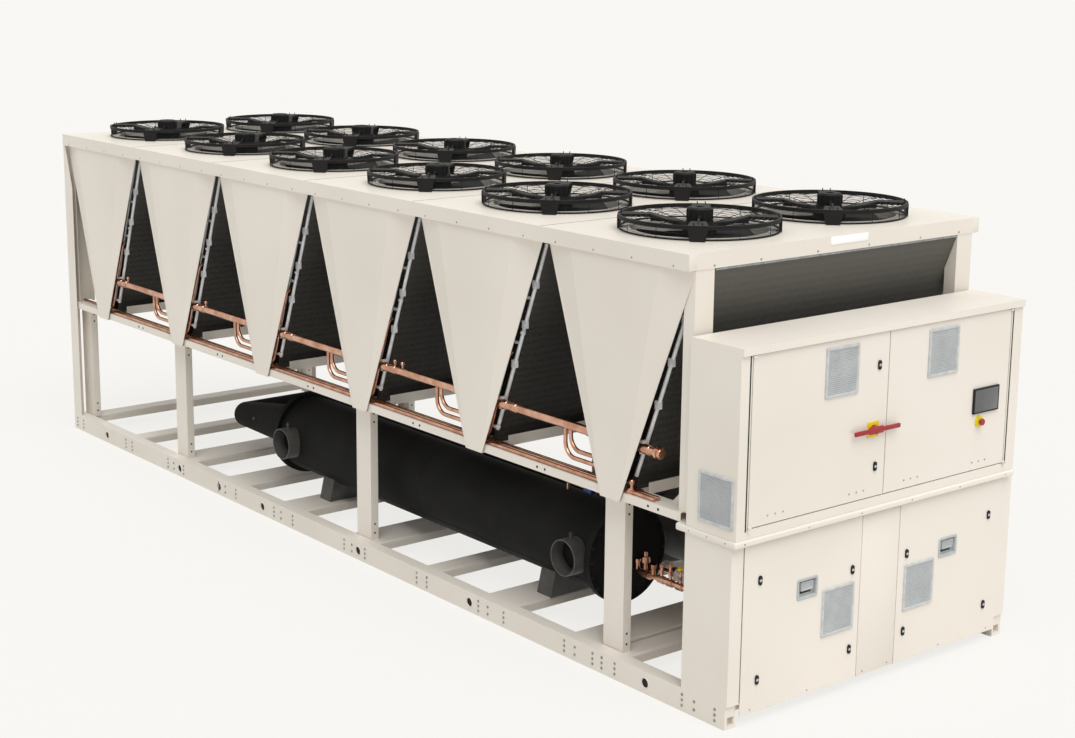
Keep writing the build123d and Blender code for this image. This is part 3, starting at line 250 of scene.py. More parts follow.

# %% [markdown]
# ### Coils, insulation and plastics
# A condenser coil is hundreds of dark fins between flat tubes. They are far too fine to model, so
# the tubes become soft bands and the fins a fine ribbing in the bump. The evaporator wears closed-
# cell foam: black, matt and slightly pitted. Vents and grips are moulded in a cool grey.

# %% Coils, insulation and plastics
# heights over which painted light lightens the coils towards the deck
PAINTED_LIGHT_START_Z, PAINTED_LIGHT_FULL_Z = 1.75, 2.32

def finned_coil_with_painted_light():
    """Dark fins, with painted light that makes them a little lighter towards the deck."""
    material, tree, shader = surface("finned_coil_with_painted_light", srgb(50, 49, 46), 0.7)
    drift(tree, shader, noise(tree, 110.0, 5), srgb(24, 24, 23), srgb(62, 60, 56))
    overlay(tree, shader, bands(tree, "Z", 0.042, 0.8), srgb(84, 82, 76), 0.20)
    # painted light: a height ramp lays a lighter tone on the fins as they rise towards the deck
    place = tree.nodes.new("ShaderNodeTexCoord")
    split = tree.nodes.new("ShaderNodeSeparateXYZ")
    rise = tree.nodes.new("ShaderNodeMapRange")
    rise.inputs["From Min"].default_value = PAINTED_LIGHT_START_Z
    rise.inputs["From Max"].default_value = PAINTED_LIGHT_FULL_Z
    tree.links.new(place.outputs["Object"], split.inputs["Vector"])
    tree.links.new(split.outputs["Z"], rise.inputs["Value"])
    overlay(tree, shader, rise.outputs["Result"], srgb(112, 110, 102), 0.55)
    relief(tree, shader, bands(tree, "Z", 0.042), 0.25, 0.002)
    relief(tree, shader, noise(tree, 150.0, 4), 0.6, 0.002)
    return material

def foam_insulation():
    material, tree, shader = surface("foam_insulation", srgb(14, 14, 13), 0.82)
    shader.inputs["Specular IOR Level"].default_value = 0.25
    drift(tree, shader, noise(tree, 5.0, 4), srgb(10, 10, 10), srgb(19, 19, 18))
    relief(tree, shader, noise(tree, 240.0, 4), 0.35, 0.0009)
    return material

def moulded_grey():
    material, tree, shader = surface("moulded_grey", srgb(176, 180, 180), 0.45)
    drift(tree, shader, noise(tree, 12.0), srgb(171, 175, 176), srgb(181, 185, 185))
    relief(tree, shader, noise(tree, 800.0), 0.15, 0.0003)
    return material

def moulded(name, red, green, blue, roughness=0.35):
    """Coloured plastic with a faint mould texture."""
    material, tree, shader = surface(name, srgb(red, green, blue), roughness)
    darker = srgb(red * 0.92, green * 0.92, blue * 0.92)
    drift(tree, shader, noise(tree, 25.0), darker, srgb(red, green, blue))
    relief(tree, shader, noise(tree, 900.0), 0.12, 0.0003)
    return material

# this white also paints the highlight along the roof lip
def plate_white_and_lip_highlight():
    material, tree, shader = surface("plate_white_and_lip_highlight", srgb(250, 250, 248), 0.35)
    relief(tree, shader, noise(tree, 300.0), 0.15, 0.0002)
    return material

def display_glass():
    material, tree, shader = surface("display_glass", srgb(84, 84, 86), 0.2)
    drift(tree, shader, noise(tree, 6.0, 1), srgb(80, 80, 82), srgb(90, 90, 92))
    shader.inputs["Coat Weight"].default_value = 0.2
    relief(tree, shader, noise(tree, 700.0), 0.04, 0.0002)
    return material

paint, guard_black, rotor_black = powder_coat(), black_coat(), black_moulding_and_hole_shade()
primer, copper, aluminium, zinc = primer_grey(), drawn_copper(), drawn_aluminium(), galvanised_sheet()
coil, foam, vent_grey, glass = finned_coil_with_painted_light(), foam_insulation(), moulded_grey(), display_glass()
red, yellow = moulded("signal_red", 156, 26, 36), moulded("signal_yellow", 240, 216, 24)
blue, gear_grey = moulded("coil_blue", 22, 52, 120), moulded("gear_grey", 120, 123, 125, 0.45)
# the same dark rubber also paints the shade in the punched holes, the grip slots and the panel seams
rubber_and_painted_shade = moulded("seal_rubber_and_painted_shade", 40, 40, 40, 0.7)
frame_grey, bare_white_and_lip_highlight = moulded("frame_grey", 196, 199, 199, 0.4), plate_white_and_lip_highlight()

FINISH = {
    "paint": paint, "guard_black": guard_black, "coil": coil, "header": aluminium, "copper": copper,
    "motor_black": guard_black, "insulation": foam, "steel_grey": primer, "galvanised": zinc,
    "latch_black": rotor_black, "gear_grey": gear_grey, "yellow": yellow, "red": red, "screen": rotor_black,
    "rotor_black": rotor_black,
}
for subpart in frame["record"]["subparts"]:
    for place in frame["nodes"][subpart["node"]].material_slots:
        place.material = FINISH[subpart["material_slot"]]
RING_H = 0.0145                   # the wall rings stand this far out of the deck
ring_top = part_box("fan_deck")[1].z + RING_H
for place in frame["nodes"]["fan_guards"].material_slots:
    place.material = ring_and_guard(ring_top)
print(len(frame["nodes"]), "solids have their finish")

# %% [markdown]
# ## Tools for building pieces
# The added pieces are made in mesh code, and most of them from three simple shapes: a tube that
# follows points, a turned shape, and a block with rounded edges. Like pieces on one body are
# joined in one mesh, which keeps the scene light and its list of names short.

# %% Tubes, turned shapes and blocks
ALONG, ACROSS, UP = Vector((1, 0, 0)), Vector((0, 1, 0)), Vector((0, 0, 1))

def ways_round(side, other, count, start=0.0):
    """Directions evenly round the circle that two axes span."""
    angles = [2 * math.pi * (k + start) / count for k in range(count)]
    return [math.cos(a) * side + math.sin(a) * other for a in angles]

def join_rings(bm, here, there):
    """Faces between two rings of equally many corners."""
    count = len(here)
    for k in range(count):
        after = (k + 1) % count
        bm.faces.new((here[k], here[after], there[after], there[k]))

def add_tube(bm, points, radius, sides=6, closed=False):
    """A round bar that follows a list of points."""
    points = [Vector(p) for p in points]
    count = len(points)
    rings, side = [], None
    for i, point in enumerate(points):
        before = points[i - 1] if closed or i else point
        after = points[(i + 1) % count] if closed or i < count - 1 else point
        along = (after - before).normalized()
        side = along.orthogonal() if side is None else side - along * side.dot(along)
        side.normalize()
        ways = ways_round(side, along.cross(side), sides)
        rings.append([bm.verts.new(point + radius * way) for way in ways])
    for i in range(count if closed else count - 1):
        join_rings(bm, rings[i], rings[(i + 1) % count])
    if not closed:
        bm.faces.new(reversed(rings[0]))
        bm.faces.new(rings[-1])

def add_turned(bm, place, axis, profile, sides=16):
    """A turned shape: profile holds (radius, height) pairs along the axis."""
    along = Vector(axis).normalized()
    side = along.orthogonal().normalized()
    ways = ways_round(side, along.cross(side), sides, 0.5)
    rings = []
    for radius, height in profile:
        centre = Vector(place) + along * height
        rings.append([bm.verts.new(centre + radius * way) for way in ways])
    for here, there in zip(rings, rings[1:]):
        join_rings(bm, here, there)
    bm.faces.new(reversed(rings[0]))
    bm.faces.new(rings[-1])

def add_disc(bm, place, axis, radius, height, sides=12):
    """A short plain cylinder."""
    add_turned(bm, place, axis, [(radius, 0), (radius, height)], sides)

def add_block(bm, low, high, round_by=0.0, steps=2):
    """A block between two corners with rounded edges."""
    low, high = Vector(low), Vector(high)
    made = bmesh.ops.create_cube(bm, size=1.0)["verts"]
    for vert in made:
        vert.co = Vector([(low[i] + high[i]) / 2 + vert.co[i] * (high[i] - low[i]) for i in range(3)])
    if round_by:
        edges = list({edge for vert in made for edge in vert.link_edges})
        bmesh.ops.bevel(bm, geom=edges, offset=round_by, segments=steps, profile=0.5, affect="EDGES")

def ring_points(centre, radius, count, side=ALONG, other=ACROSS):
    """Points on a circle, which is level unless two other axes are given."""
    return [centre + radius * way for way in ways_round(side, other, count)]

# %% [markdown]
# The guards and vents need four more shapes: a ring of any cut, an arm that widens, a deep web
# under it, and a rounded rim. Two small helpers make bolts and screws, and the last one turns a
# finished mesh into a piece that rides on a body.

# %% Rings, arms, rims, screws and pieces
CORNER_POINTS, SHARPEST_CORNER = 5, 0.001
CORNERS = ((1, 1), (-1, 1), (-1, -1), (1, -1))
SCREW_DOME = ((1, 0), (1, 0.2), (0.75, 0.5), (0.3, 0.6))

def add_hoop(bm, centre, outer, inner, low, top, sides=64):
    """A level ring with a rectangular cut."""
    cut = ((outer, low), (outer, top), (inner, top), (inner, low))
    rings = []
    for out in ways_round(ALONG, ACROSS, sides):
        rings.append([bm.verts.new(centre + out * r + Vector((0, 0, z))) for r, z in cut])
    for k in range(sides):
        join_rings(bm, rings[k], rings[(k + 1) % sides])

def add_flare(bm, start, end, across, start_w, end_w, thick):
    """A flat bar whose width changes from one end to the other."""
    normal = (end - start).cross(across).normalized() * (thick / 2)
    rings = []
    for point, half in ((start, across * (start_w / 2)), (end, across * (end_w / 2))):
        corners = (-half - normal, half - normal, half + normal, normal - half)
        rings.append([bm.verts.new(point + corner) for corner in corners])
    bm.faces.new(reversed(rings[0]))
    bm.faces.new(rings[1])
    join_rings(bm, *rings)

def add_web(bm, middle, out, across, profile, wide):
    """A thick plate of (radius, height) points that stands along an arm."""
    rings = []
    for shift in (-wide / 2, wide / 2):
        places = [middle + out * r + across * shift + UP * z for r, z in profile]
        rings.append([bm.verts.new(place) for place in places])
    bm.faces.new(reversed(rings[0]))
    bm.faces.new(rings[1])
    join_rings(bm, *rings)

def add_framed(bm, centre, out, across, wide, tall, corner, profile, filled=True):
    """A rounded rectangular rim; profile holds (inset, height) pairs from outside to inside."""
    out, across = Vector(out), Vector(across)
    loops = []
    for inset, height in profile:
        radius = max(corner - inset, SHARPEST_CORNER)
        half_w, half_t = wide / 2 - inset - radius, tall / 2 - inset - radius
        loop = []
        for quarter, (sign_w, sign_t) in enumerate(CORNERS):
            for k in range(CORNER_POINTS):
                a = math.pi / 2 * (quarter + k / (CORNER_POINTS - 1))
                w, t = sign_w * half_w + radius * math.cos(a), sign_t * half_t + radius * math.sin(a)
                loop.append(bm.verts.new(Vector(centre) + across * w + UP * t + out * height))
        loops.append(loop)
    for here, there in zip(loops, loops[1:]):
        join_rings(bm, here, there)
    if filled:
        bm.faces.new(loops[-1])

def add_bolt(bm, place, axis, radius, height):
    """A hexagon head with a chamfered crown on a washer."""
    add_disc(bm, place, axis, radius * 1.35, height * 0.2)
    crown = [(radius, height * 0.2), (radius, height * 0.85), (radius * 0.8, height)]
    add_turned(bm, place, axis, crown, 6)

def add_screw(bm, place, axis, radius):
    """A low domed screw head."""
    add_turned(bm, place, axis, [(radius * r, radius * h) for r, h in SCREW_DOME], 10)

def long_sides(low, high):
    """Which way each long side of a box faces, and where it is."""
    return (-1, low.y), (1, high.y)

def make_piece(name, bm, material, body, crease=35):
    """Turns a mesh in work into a piece that rides on a body."""
    bmesh.ops.recalc_face_normals(bm, faces=bm.faces)
    mesh = bpy.data.meshes.new(name)
    bm.to_mesh(mesh)
    bm.free()
    for polygon in mesh.polygons:
        polygon.use_smooth = True
    mesh.set_sharp_from_angle(angle=math.radians(crease))
    mesh.materials.append(material)
    piece = bpy.data.objects.new(name, mesh)
    scene.collection.objects.link(piece)
    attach(piece, body)
    print(name, "has", len(mesh.polygons), "faces")
    return piece

# %% [markdown]
# ## Measures that the frame gives
# Pieces are placed from the boxes of the solids and the pins of the fans, so that they stay on
# what carries them. Places that no box gives, such as the middle of a vent, are written in metres
# from the middle of the machine.

# %% Measures
fans = [Vector(joint["pos_m"]) for joint in frame["joints"] if joint["name"].startswith("fan_")]
deck_low, deck_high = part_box("fan_deck")
rail_low, rail_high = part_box("base_rails")
mid_low, mid_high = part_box("mid_rails")
shell_low, shell_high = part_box("evaporator_shell")
first_fan_x = min(fan.x for fan in fans)
GUARD_R = first_fan_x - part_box("fan_guards")[0].x
MODULE = sorted({round(fan.x, 4) for fan in fans})
PITCH_X = MODULE[1] - MODULE[0]
DECK = deck_high.z
DOOR_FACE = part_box("switch_plate")[0].x
PANEL_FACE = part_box("lower_latches")[0].x
print("fans", len(fans), "guard radius", round(GUARD_R, 3), "module", round(PITCH_X, 3))
print("door face", round(DOOR_FACE, 4), "panel face", round(PANEL_FACE, 4))

# %% [markdown]
# ## Wire baskets over the fans
# Each guard is a basket of round wires welded to radial wires: hoops up its side, then hoops that
# follow the arms inward and down to the motor. A see-through texture would be cheaper, but real
# wires catch the light on one side and stay dark on the other, so they are modelled as thin tubes.

# %% Wire baskets
WIRE_R, HOOP_POINTS, SPOKES = 0.0012, 48, 12
SPOKE_R, SPOKE_DROP = 1.6 * WIRE_R, 0.002
HOOP_STEP, FLAT_STEP, SLOPE_STEP = 0.0072, 0.029, 0.026
GUARD_TOP = DECK + 0.084
BASKET_R, BASKET_LOW, BASKET_TOP = GUARD_R - 0.006, DECK + 0.008, GUARD_TOP - 0.004
ARM_BEND = GUARD_R - 0.175      # where the arms start to slope
FLANGE_R, FLANGE_TOP = 0.104, DECK + 0.040
BASKET = [(BASKET_R, BASKET_LOW), (BASKET_R, BASKET_TOP), (ARM_BEND, BASKET_TOP), (FLANGE_R, FLANGE_TOP)]

def hoops():
    """Radius and height of every hoop from the deck up the side and in to the motor."""
    places = []
    for (r0, z0), (r1, z1), step in zip(BASKET, BASKET[1:], (HOOP_STEP, FLAT_STEP, SLOPE_STEP)):
        count = round(math.hypot(r1 - r0, z1 - z0) / step)
        shares = [k / count for k in range(1, count + 1)]
        places += [(r0 + (r1 - r0) * share, z0 + (z1 - z0) * share) for share in shares]
    return places

for number, fan in enumerate(fans, 1):
    bm = bmesh.new()
    for radius, height in hoops():
        hoop = ring_points(Vector((fan.x, fan.y, height)), radius, HOOP_POINTS)
        add_tube(bm, hoop, WIRE_R, 4, closed=True)
    for out in ways_round(ALONG, ACROSS, SPOKES, 0.5):
        spoke = [(fan.x + r * out.x, fan.y + r * out.y, z - SPOKE_DROP) for r, z in BASKET]
        add_tube(bm, spoke, SPOKE_R, 5)
    make_piece("guard_wires_%02d" % number, bm, guard_black, "chiller", 60)

# %% [markdown]
# The baskets hang on four pressed arms and a stout hoop. From the ground these arms are what is
# seen first: flat black channels that stand up at the rim, run level and then dip to the motor,
# with a deep web under the slope. Two studs hold each of them to the hoop.

# %% Arms, hoops and studs
ARM_W, ARM_T, HOOP_T, HOOP_H = 0.078, 0.016, 0.013, 0.021
ARM_CORNER_W, ARM_ROOT_W = 0.112, 0.148    # wider at the corner and at the motor's foot
HOOP_R, HOOP_TOP = GUARD_R - 0.0008, GUARD_TOP - 0.0006
FOOT_OUT, FOOT_IN, FOOT_LOW, FOOT_TOP = HOOP_R - 0.002, HOOP_R - 0.009, DECK + 0.0052, DECK + 0.013
LEG_R, LEG_LOW = GUARD_R - ARM_T / 2 + 0.0008, DECK + 0.0006
ARM_Z = HOOP_TOP - ARM_T / 2
ROOT_R, ROOT_Z = 0.090, DECK + 0.030
ROTOR_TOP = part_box("fan_rotor_01")[1].z
WEB_ROOT_R, WEB_W, WEB_DEEP = 0.150, 0.060, 0.030
WEB_LOW, WEB_TOP = max(ROTOR_TOP + 0.010, DECK - 0.010), DECK + 0.044
WEB = [(WEB_ROOT_R, WEB_LOW), (ARM_BEND, ARM_Z - WEB_DEEP), (ARM_BEND, ARM_Z), (WEB_ROOT_R, WEB_TOP)]
STUD = [(0.003, 0), (0.003, 0.020), (0.002, 0.022)]
STUD_SHIFT, STUD_IN = 0.022, 0.012
for number, fan in enumerate(fans, 1):
    bm = bmesh.new()
    middle = Vector((fan.x, fan.y, 0))
    add_hoop(bm, middle, HOOP_R, HOOP_R - HOOP_T, HOOP_TOP - HOOP_H, HOOP_TOP)
    add_hoop(bm, middle, FOOT_OUT, FOOT_IN, FOOT_LOW, FOOT_TOP)
    for out in ways_round(ALONG, ACROSS, 4, 0.5):
        across = UP.cross(out)
        foot, corner = middle + out * LEG_R + UP * LEG_LOW, middle + out * LEG_R + UP * ARM_Z
        bend, root = middle + out * ARM_BEND + UP * ARM_Z, middle + out * ROOT_R + UP * ROOT_Z
        add_flare(bm, foot, corner, across, ARM_W, ARM_CORNER_W, ARM_T)
        add_flare(bm, corner, bend, across, ARM_CORNER_W, ARM_W, ARM_T)
        add_flare(bm, root, bend, across, ARM_ROOT_W, ARM_W, ARM_T)
        add_web(bm, middle, out, across, WEB, WEB_W)
        for shift in (-STUD_SHIFT, STUD_SHIFT):
            add_turned(bm, corner + across * shift - out * STUD_IN, UP, STUD, 8)
    make_piece("guard_arms_%02d" % number, bm, guard_black, "chiller")
print("the webs clear the rotors by", round(WEB_LOW - ROTOR_TOP, 3), "m")

# %% [markdown]
# ## Motors
# The external-rotor motors are plain from afar, but their caps have ribs, a boss and a cable that
# leaves through a gland and follows one arm down to the deck.

# %% Motor caps and cables
motor_low, motor_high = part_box("fan_motors")
MOTOR_R = first_fan_x - motor_low.x
RIBS, RIB_R, RIB_L, RIB_DROP, RIB_OUT = 12, 0.004, 0.05, 0.062, 0.001
BOSS = [(0.03, 0), (0.03, 0.004), (0.022, 0.006)]
GLAND = [(0.012, -0.01), (0.012, 0.014), (0.008, 0.02)]
GLAND_SHARE, GLAND_DROP, CABLE_R = 0.70, 0.05, 0.0055
CABLE_BENDS = ((0.018, 0), (0.05, -0.014), (0.16, 0.008), (0.24, 0.026))    # out and up from the gland
CABLE_RIM = ((GUARD_R - 0.03, BASKET_TOP - 0.012), (GUARD_R - 0.014, DECK + 0.008))
away = Vector((0.7071, -0.7071, 0))
bm = bmesh.new()
for fan in fans:
    top = Vector((fan.x, fan.y, motor_high.z))
    for out in ways_round(ALONG, ACROSS, RIBS):
        low = top - UP * RIB_DROP + out * (MOTOR_R + RIB_OUT)
        add_tube(bm, [low, low + UP * RIB_L], RIB_R, 5)
    add_turned(bm, top - UP * 0.006, UP, BOSS, 20)
    gland = top + Vector((MOTOR_R * GLAND_SHARE, -MOTOR_R * GLAND_SHARE, -GLAND_DROP))
    add_turned(bm, gland, away, GLAND, 12)
    route = [gland + away * reach + UP * rise for reach, rise in CABLE_BENDS]
    route += [Vector((fan.x, fan.y, height)) + away * reach for reach, height in CABLE_RIM]
    add_tube(bm, route, CABLE_R, 8)
make_piece("motor_fittings", bm, guard_black, "chiller")

# %% [markdown]
# ## Deck and fascia
# The deck is made of one sheet per module, so a fine seam crosses it between the fans, and each
# wall ring is held by eight screws. The fascias carry small screws, caps close their open ends,
# and a bare plate sits at the cabinet end, where such units are labelled.

# %% Deck seams and screws
SEAM_W, SEAM_H, SEAM_END, SEAM_SUNK = 0.004, 0.0006, 0.004, 0.001
bm = bmesh.new()
for before, after in zip(MODULE, MODULE[1:]):
    x = (before + after) / 2
    low = (x - SEAM_W / 2, deck_low.y + SEAM_END, DECK - SEAM_SUNK)
    add_block(bm, low, (x + SEAM_W / 2, deck_high.y - SEAM_END, DECK + SEAM_H))
make_piece("deck_seams", bm, rubber_and_painted_shade, "chiller")

RING_SCREWS, RING_SCREW_R, RING_SCREW_IN, RING_SCREW_Z = 8, 0.007, 0.022, DECK + 0.005
bm = bmesh.new()
for fan in fans:
    centre = Vector((fan.x, fan.y, RING_SCREW_Z))
    for point in ring_points(centre, GUARD_R - RING_SCREW_IN, RING_SCREWS):
        add_screw(bm, point, UP, RING_SCREW_R)
make_piece("ring_screws", bm, guard_black, "chiller")

# %% Fascia screws, caps and plate
FASCIA_SCREW_Z, FASCIA_SCREW_R, FASCIA_SCREW_SUNK, FASCIA_SCREW_H = 2.315, 0.006, 0.001, 0.0011
SIDE_SCREWS, END_SCREWS = (-0.46, -0.15, 0.15, 0.46), (-0.95, -0.62, -0.2, 0.2, 0.62, 0.95)
DECK_ENDS = ((deck_high.x, 1), (deck_low.x, -1))
bm = bmesh.new()
for side, face in long_sides(deck_low, deck_high):
    for x in [module + shift for module in MODULE for shift in SIDE_SCREWS]:
        place = (x, face - side * FASCIA_SCREW_SUNK, FASCIA_SCREW_Z)
        add_disc(bm, place, (0, side, 0), FASCIA_SCREW_R, FASCIA_SCREW_H)
for y in END_SCREWS:
    for face, way in DECK_ENDS:
        add_screw(bm, (face, y, FASCIA_SCREW_Z), (way, 0, 0), FASCIA_SCREW_R)
make_piece("fascia_screws", bm, zinc, "chiller")

CAP_W, CAP_T, CAP_PROUD, CAP_GAP, CAP_LOW = 0.060, 0.004, 0.0008, 0.0004, 2.3004
bm = bmesh.new()
for x, way in DECK_ENDS:
    for side, y in long_sides(deck_low, deck_high):
        ends = sorted((y - side * CAP_GAP, y - side * CAP_W))
        faces = sorted((x - way * CAP_T, x + way * CAP_PROUD))
        add_block(bm, (faces[0], ends[0], CAP_LOW), (faces[1], ends[1], DECK - CAP_GAP), CAP_PROUD)
make_piece("fascia_caps", bm, paint, "chiller")

PLATE_Y, PLATE_W, PLATE_LOW, PLATE_HIGH = 0.0425, 0.289, 2.339, 2.381
PLATE_SUNK, PLATE_PROUD = 0.001, 0.0025
bm = bmesh.new()
low = (deck_high.x - PLATE_SUNK, PLATE_Y - PLATE_W / 2, PLATE_LOW)
add_block(bm, low, (deck_high.x + PLATE_PROUD, PLATE_Y + PLATE_W / 2, PLATE_HIGH), PLATE_SUNK)
make_piece("bare_plate", bm, bare_white_and_lip_highlight, "chiller")

# %% [markdown]
# ## Base rails and posts
# The rails are bolted through to every cross member, three bolts in a row at each edge of it. The
# bolts are small beside the machine, but without them the long rails look empty. The lifting
# holes have a pressed rim that shows as a light ring, and a black disc set behind each one is
# painted shade for the inside of the rail.

# %% Bolts and rims of the base
# Places along the machine are counted from its far end: middle and width of each cross member,
# and the middles of the lifting holes.
CROSSINGS = [(0.105, 0.150), (0.955, 0.150), (1.710, 0.285), (2.475, 0.285), (3.235, 0.285), (4.110, 0.285),
             (4.855, 0.150), (5.550, 0.285), (6.340, 0.285), (6.590, 0.150), (7.290, 0.285)]
HOLES = [0.581, 1.771, 2.358, 2.961, 4.151, 5.341, 6.885]
HOLE_R, HOLE_Z, RIM_OUT, RIM_R = 0.026, 0.060, 0.003, 0.0028
HOLE_SHADE_BACK, HOLE_SHADE_OUT, HOLE_SHADE_T = 0.016, 0.006, 0.0085
EDGE_BOLTS, MIDDLE_BOLTS, BROAD = (0.032, 0.062, 0.092), (0.038, 0.082), 0.2
BOLT_EDGE, BOLT_MIDDLE, BOLT_R, BOLT_H = 0.022, -0.03, 0.0065, 0.004
base_x = rail_low.x
bm, rims, dark = bmesh.new(), bmesh.new(), bmesh.new()
for side, face in long_sides(rail_low, rail_high):
    for x, wide in CROSSINGS:
        spots = [(edge, z) for edge in (BOLT_EDGE - wide / 2, wide / 2 - BOLT_EDGE) for z in EDGE_BOLTS]
        spots += [(BOLT_MIDDLE, z) for z in MIDDLE_BOLTS if wide > BROAD]
        for shift, z in spots:
            add_bolt(bm, (base_x + x + shift, face, z), (0, side, 0), BOLT_R, BOLT_H)
    for x in HOLES:
        centre = Vector((base_x + x, face, HOLE_Z))
        add_tube(rims, ring_points(centre, HOLE_R + RIM_OUT, 28, ALONG, UP), RIM_R, 6, closed=True)
        # painted shade: a black disc set back in each lifting hole stands for the shade inside the rail
        add_disc(dark, centre - ACROSS * (side * HOLE_SHADE_BACK), (0, side, 0), HOLE_R + HOLE_SHADE_OUT, HOLE_SHADE_T, 24)
make_piece("lifting_hole_shade", dark, rotor_black, "chiller")
make_piece("rail_bolts", bm, zinc, "chiller")
make_piece("lifting_rims", rims, paint, "chiller")

# %% [markdown]
# The V panels end in a rolled hem on each sloping edge. The posts and the middle rails are
# punched with small holes for fixings, drawn as dark discs that are painted shade for their insides.

# %% Hems and punched holes
FOOT_HALF, TOP_HALF, HEM_LOW, HEM_HIGH = 0.075, 0.568, 1.006, 2.296
HEM_R, HEM_FOOT_IN, HEM_TOP_IN, HEM_TOP_SHORT = 0.0035, 0.0155, 0.051, 0.002
bm = bmesh.new()
for x in MODULE:
    for side, edge in long_sides(deck_low, deck_high):
        for way in (-1, 1):
            low = (x + way * FOOT_HALF, edge - side * HEM_FOOT_IN, HEM_LOW)
            high = (x + way * (TOP_HALF - HEM_TOP_SHORT), edge - side * HEM_TOP_IN, HEM_HIGH)
            add_tube(bm, [low, high], HEM_R, 8)
make_piece("panel_hems", bm, paint, "chiller")

POSTS, POST_HOLES = (0.112, 1.670, 4.100, 6.530), (0.165, 0.225, 0.90, 0.955)
POST_W, POST_HOLE_Y, POST_HOLE_R, POST_HOLE_SUNK, POST_HOLE_H = 0.160, 0.997, 0.007, 0.0005, 0.0012
RAIL_HOLE_R, RAIL_HOLE_SUNK, RAIL_HOLE_H, RAIL_HOLE_STEP = 0.008, 0.0004, 0.001, 0.034
seams = [x + PITCH_X / 2 for x in MODULE[:-1]]
rail_holes = [(x + shift, 1.027) for x in seams for shift in (-RAIL_HOLE_STEP, RAIL_HOLE_STEP)]
rail_holes += [(MODULE[-1] + shift, 1.026) for shift in (0.284, 0.361)]
# painted shade: dark discs stand for the shade inside the punched holes
bm = bmesh.new()
for x in POSTS:
    for side in (-1, 1):
        for z in POST_HOLES:
            place = (base_x + x + POST_W / 2 - POST_HOLE_SUNK, side * POST_HOLE_Y, z)
            add_disc(bm, place, ALONG, POST_HOLE_R, POST_HOLE_H)
for x, z in rail_holes:
    for side, face in long_sides(mid_low, mid_high):
        add_disc(bm, (x, face - side * RAIL_HOLE_SUNK, z), (0, side, 0), RAIL_HOLE_R, RAIL_HOLE_H)
make_piece("punched_hole_shade", bm, rubber_and_painted_shade, "chiller")

# %% [markdown]
# ## Vents, grips and latches
# The filter vents are moulded grilles in a raised frame, all of one size, on the doors, the lower
# panels and the cabinet's sides. The grips are trays with a slot for the fingers, where a dark
# strip is painted shade, and every wing latch shows a light slot for its key.

# %% Vents
LOUVRES, LOUVRE_SHARE, LOUVRE_BACK, LOUVRE_FRONT, LOUVRE_ROUND = 22, 0.28, 0.003, 0.0066, 0.0009
VENT_W, VENT_H, VENT_CORNER, FRAME_W = 0.246, 0.262, 0.008, 0.017
VENT_BACK = [(0.004, 0.003), (0.005, 0.0042)]
VENT_RIM = [(0, -0.002), (0, 0.0060), (0.0025, 0.0090), (0.0135, 0.0090), (FRAME_W, 0.0046)]

def add_vent(grille, rims, centre, out, across):
    """A framed grille; out points away from the sheet and across along it."""
    add_framed(grille, centre, out, across, VENT_W, VENT_H, VENT_CORNER, VENT_BACK)
    add_framed(rims, centre, out, across, VENT_W, VENT_H, VENT_CORNER, VENT_RIM, filled=False)
    step = (VENT_H - 2 * FRAME_W) / LOUVRES
    half, rise = VENT_W / 2 - FRAME_W, step * LOUVRE_SHARE
    blades = bmesh.new()
    for k in range(LOUVRES):
        z = -VENT_H / 2 + FRAME_W + (k + 0.5) * step
        add_block(blades, (-half, LOUVRE_BACK, z - rise), (half, LOUVRE_FRONT, z + rise), LOUVRE_ROUND, 1)
    turn = Matrix((Vector(across), Vector(out), UP)).transposed().to_4x4()
    blades.transform(Matrix.Translation(centre) @ turn)
    copy = bpy.data.meshes.new("grille")
    blades.to_mesh(copy)
    blades.free()
    grille.from_mesh(copy)
    bpy.data.meshes.remove(copy)

DOOR_VENT_Z, LOW_VENT_Z, SIDE_VENT_X, SIDE_VENT_Z = 1.772, 0.477, 3.601, 1.188
LOW_VENTS_Y, VENT_SIDES = (-0.322, 0.325), ((-1, -1.117), (1, 1.073))
for name, body, y in (("left_door_vent", "left_door", -0.396), ("right_door_vent", "right_door", 0.400)):
    bm, rims = bmesh.new(), bmesh.new()
    add_vent(bm, rims, Vector((DOOR_FACE, y, DOOR_VENT_Z)), ALONG, ACROSS)
    make_piece(name, bm, vent_grey, body)
    make_piece(name + "_frame", rims, frame_grey, body)
bm, rims = bmesh.new(), bmesh.new()
for y in LOW_VENTS_Y:
    add_vent(bm, rims, Vector((PANEL_FACE, y, LOW_VENT_Z)), ALONG, ACROSS)
for side, face in VENT_SIDES:
    add_vent(bm, rims, Vector((SIDE_VENT_X, face, SIDE_VENT_Z)), (0, side, 0), (-side, 0, 0))
make_piece("cabinet_vents", bm, vent_grey, "chiller")
make_piece("cabinet_vent_frames", rims, frame_grey, "chiller")

# %% Grips
GRIP_W, GRIP_H, GRIP_Z, GRIP_DEEP, GRIP_CORNER = 0.154, 0.114, 0.645, 0.019, 0.012
GRIPS_Y = (-0.559, 0.563)
GRIP_RIM = [(0, -0.001), (0, 0.003), (0.002, 0.005), (0.012, 0.005), (0.014, 0.002), (0.014, -GRIP_DEEP)]
CUP_W, CUP_H, CUP_CORNER, CUP_SHIFT = 0.096, 0.054, 0.010, Vector((-GRIP_DEEP, 0.006, 0.010))
CUP_RIM = [(0, 0), (0.001, 0.012), (0.004, 0.016), (0.010, 0.016), (0.014, 0.009)]
SLOT_SHIFT, SLOT_SIZE, SLOT_ROUND = Vector((0.0004, -0.040, -0.042)), Vector((0.0012, 0.080, 0.013)), 0.0005
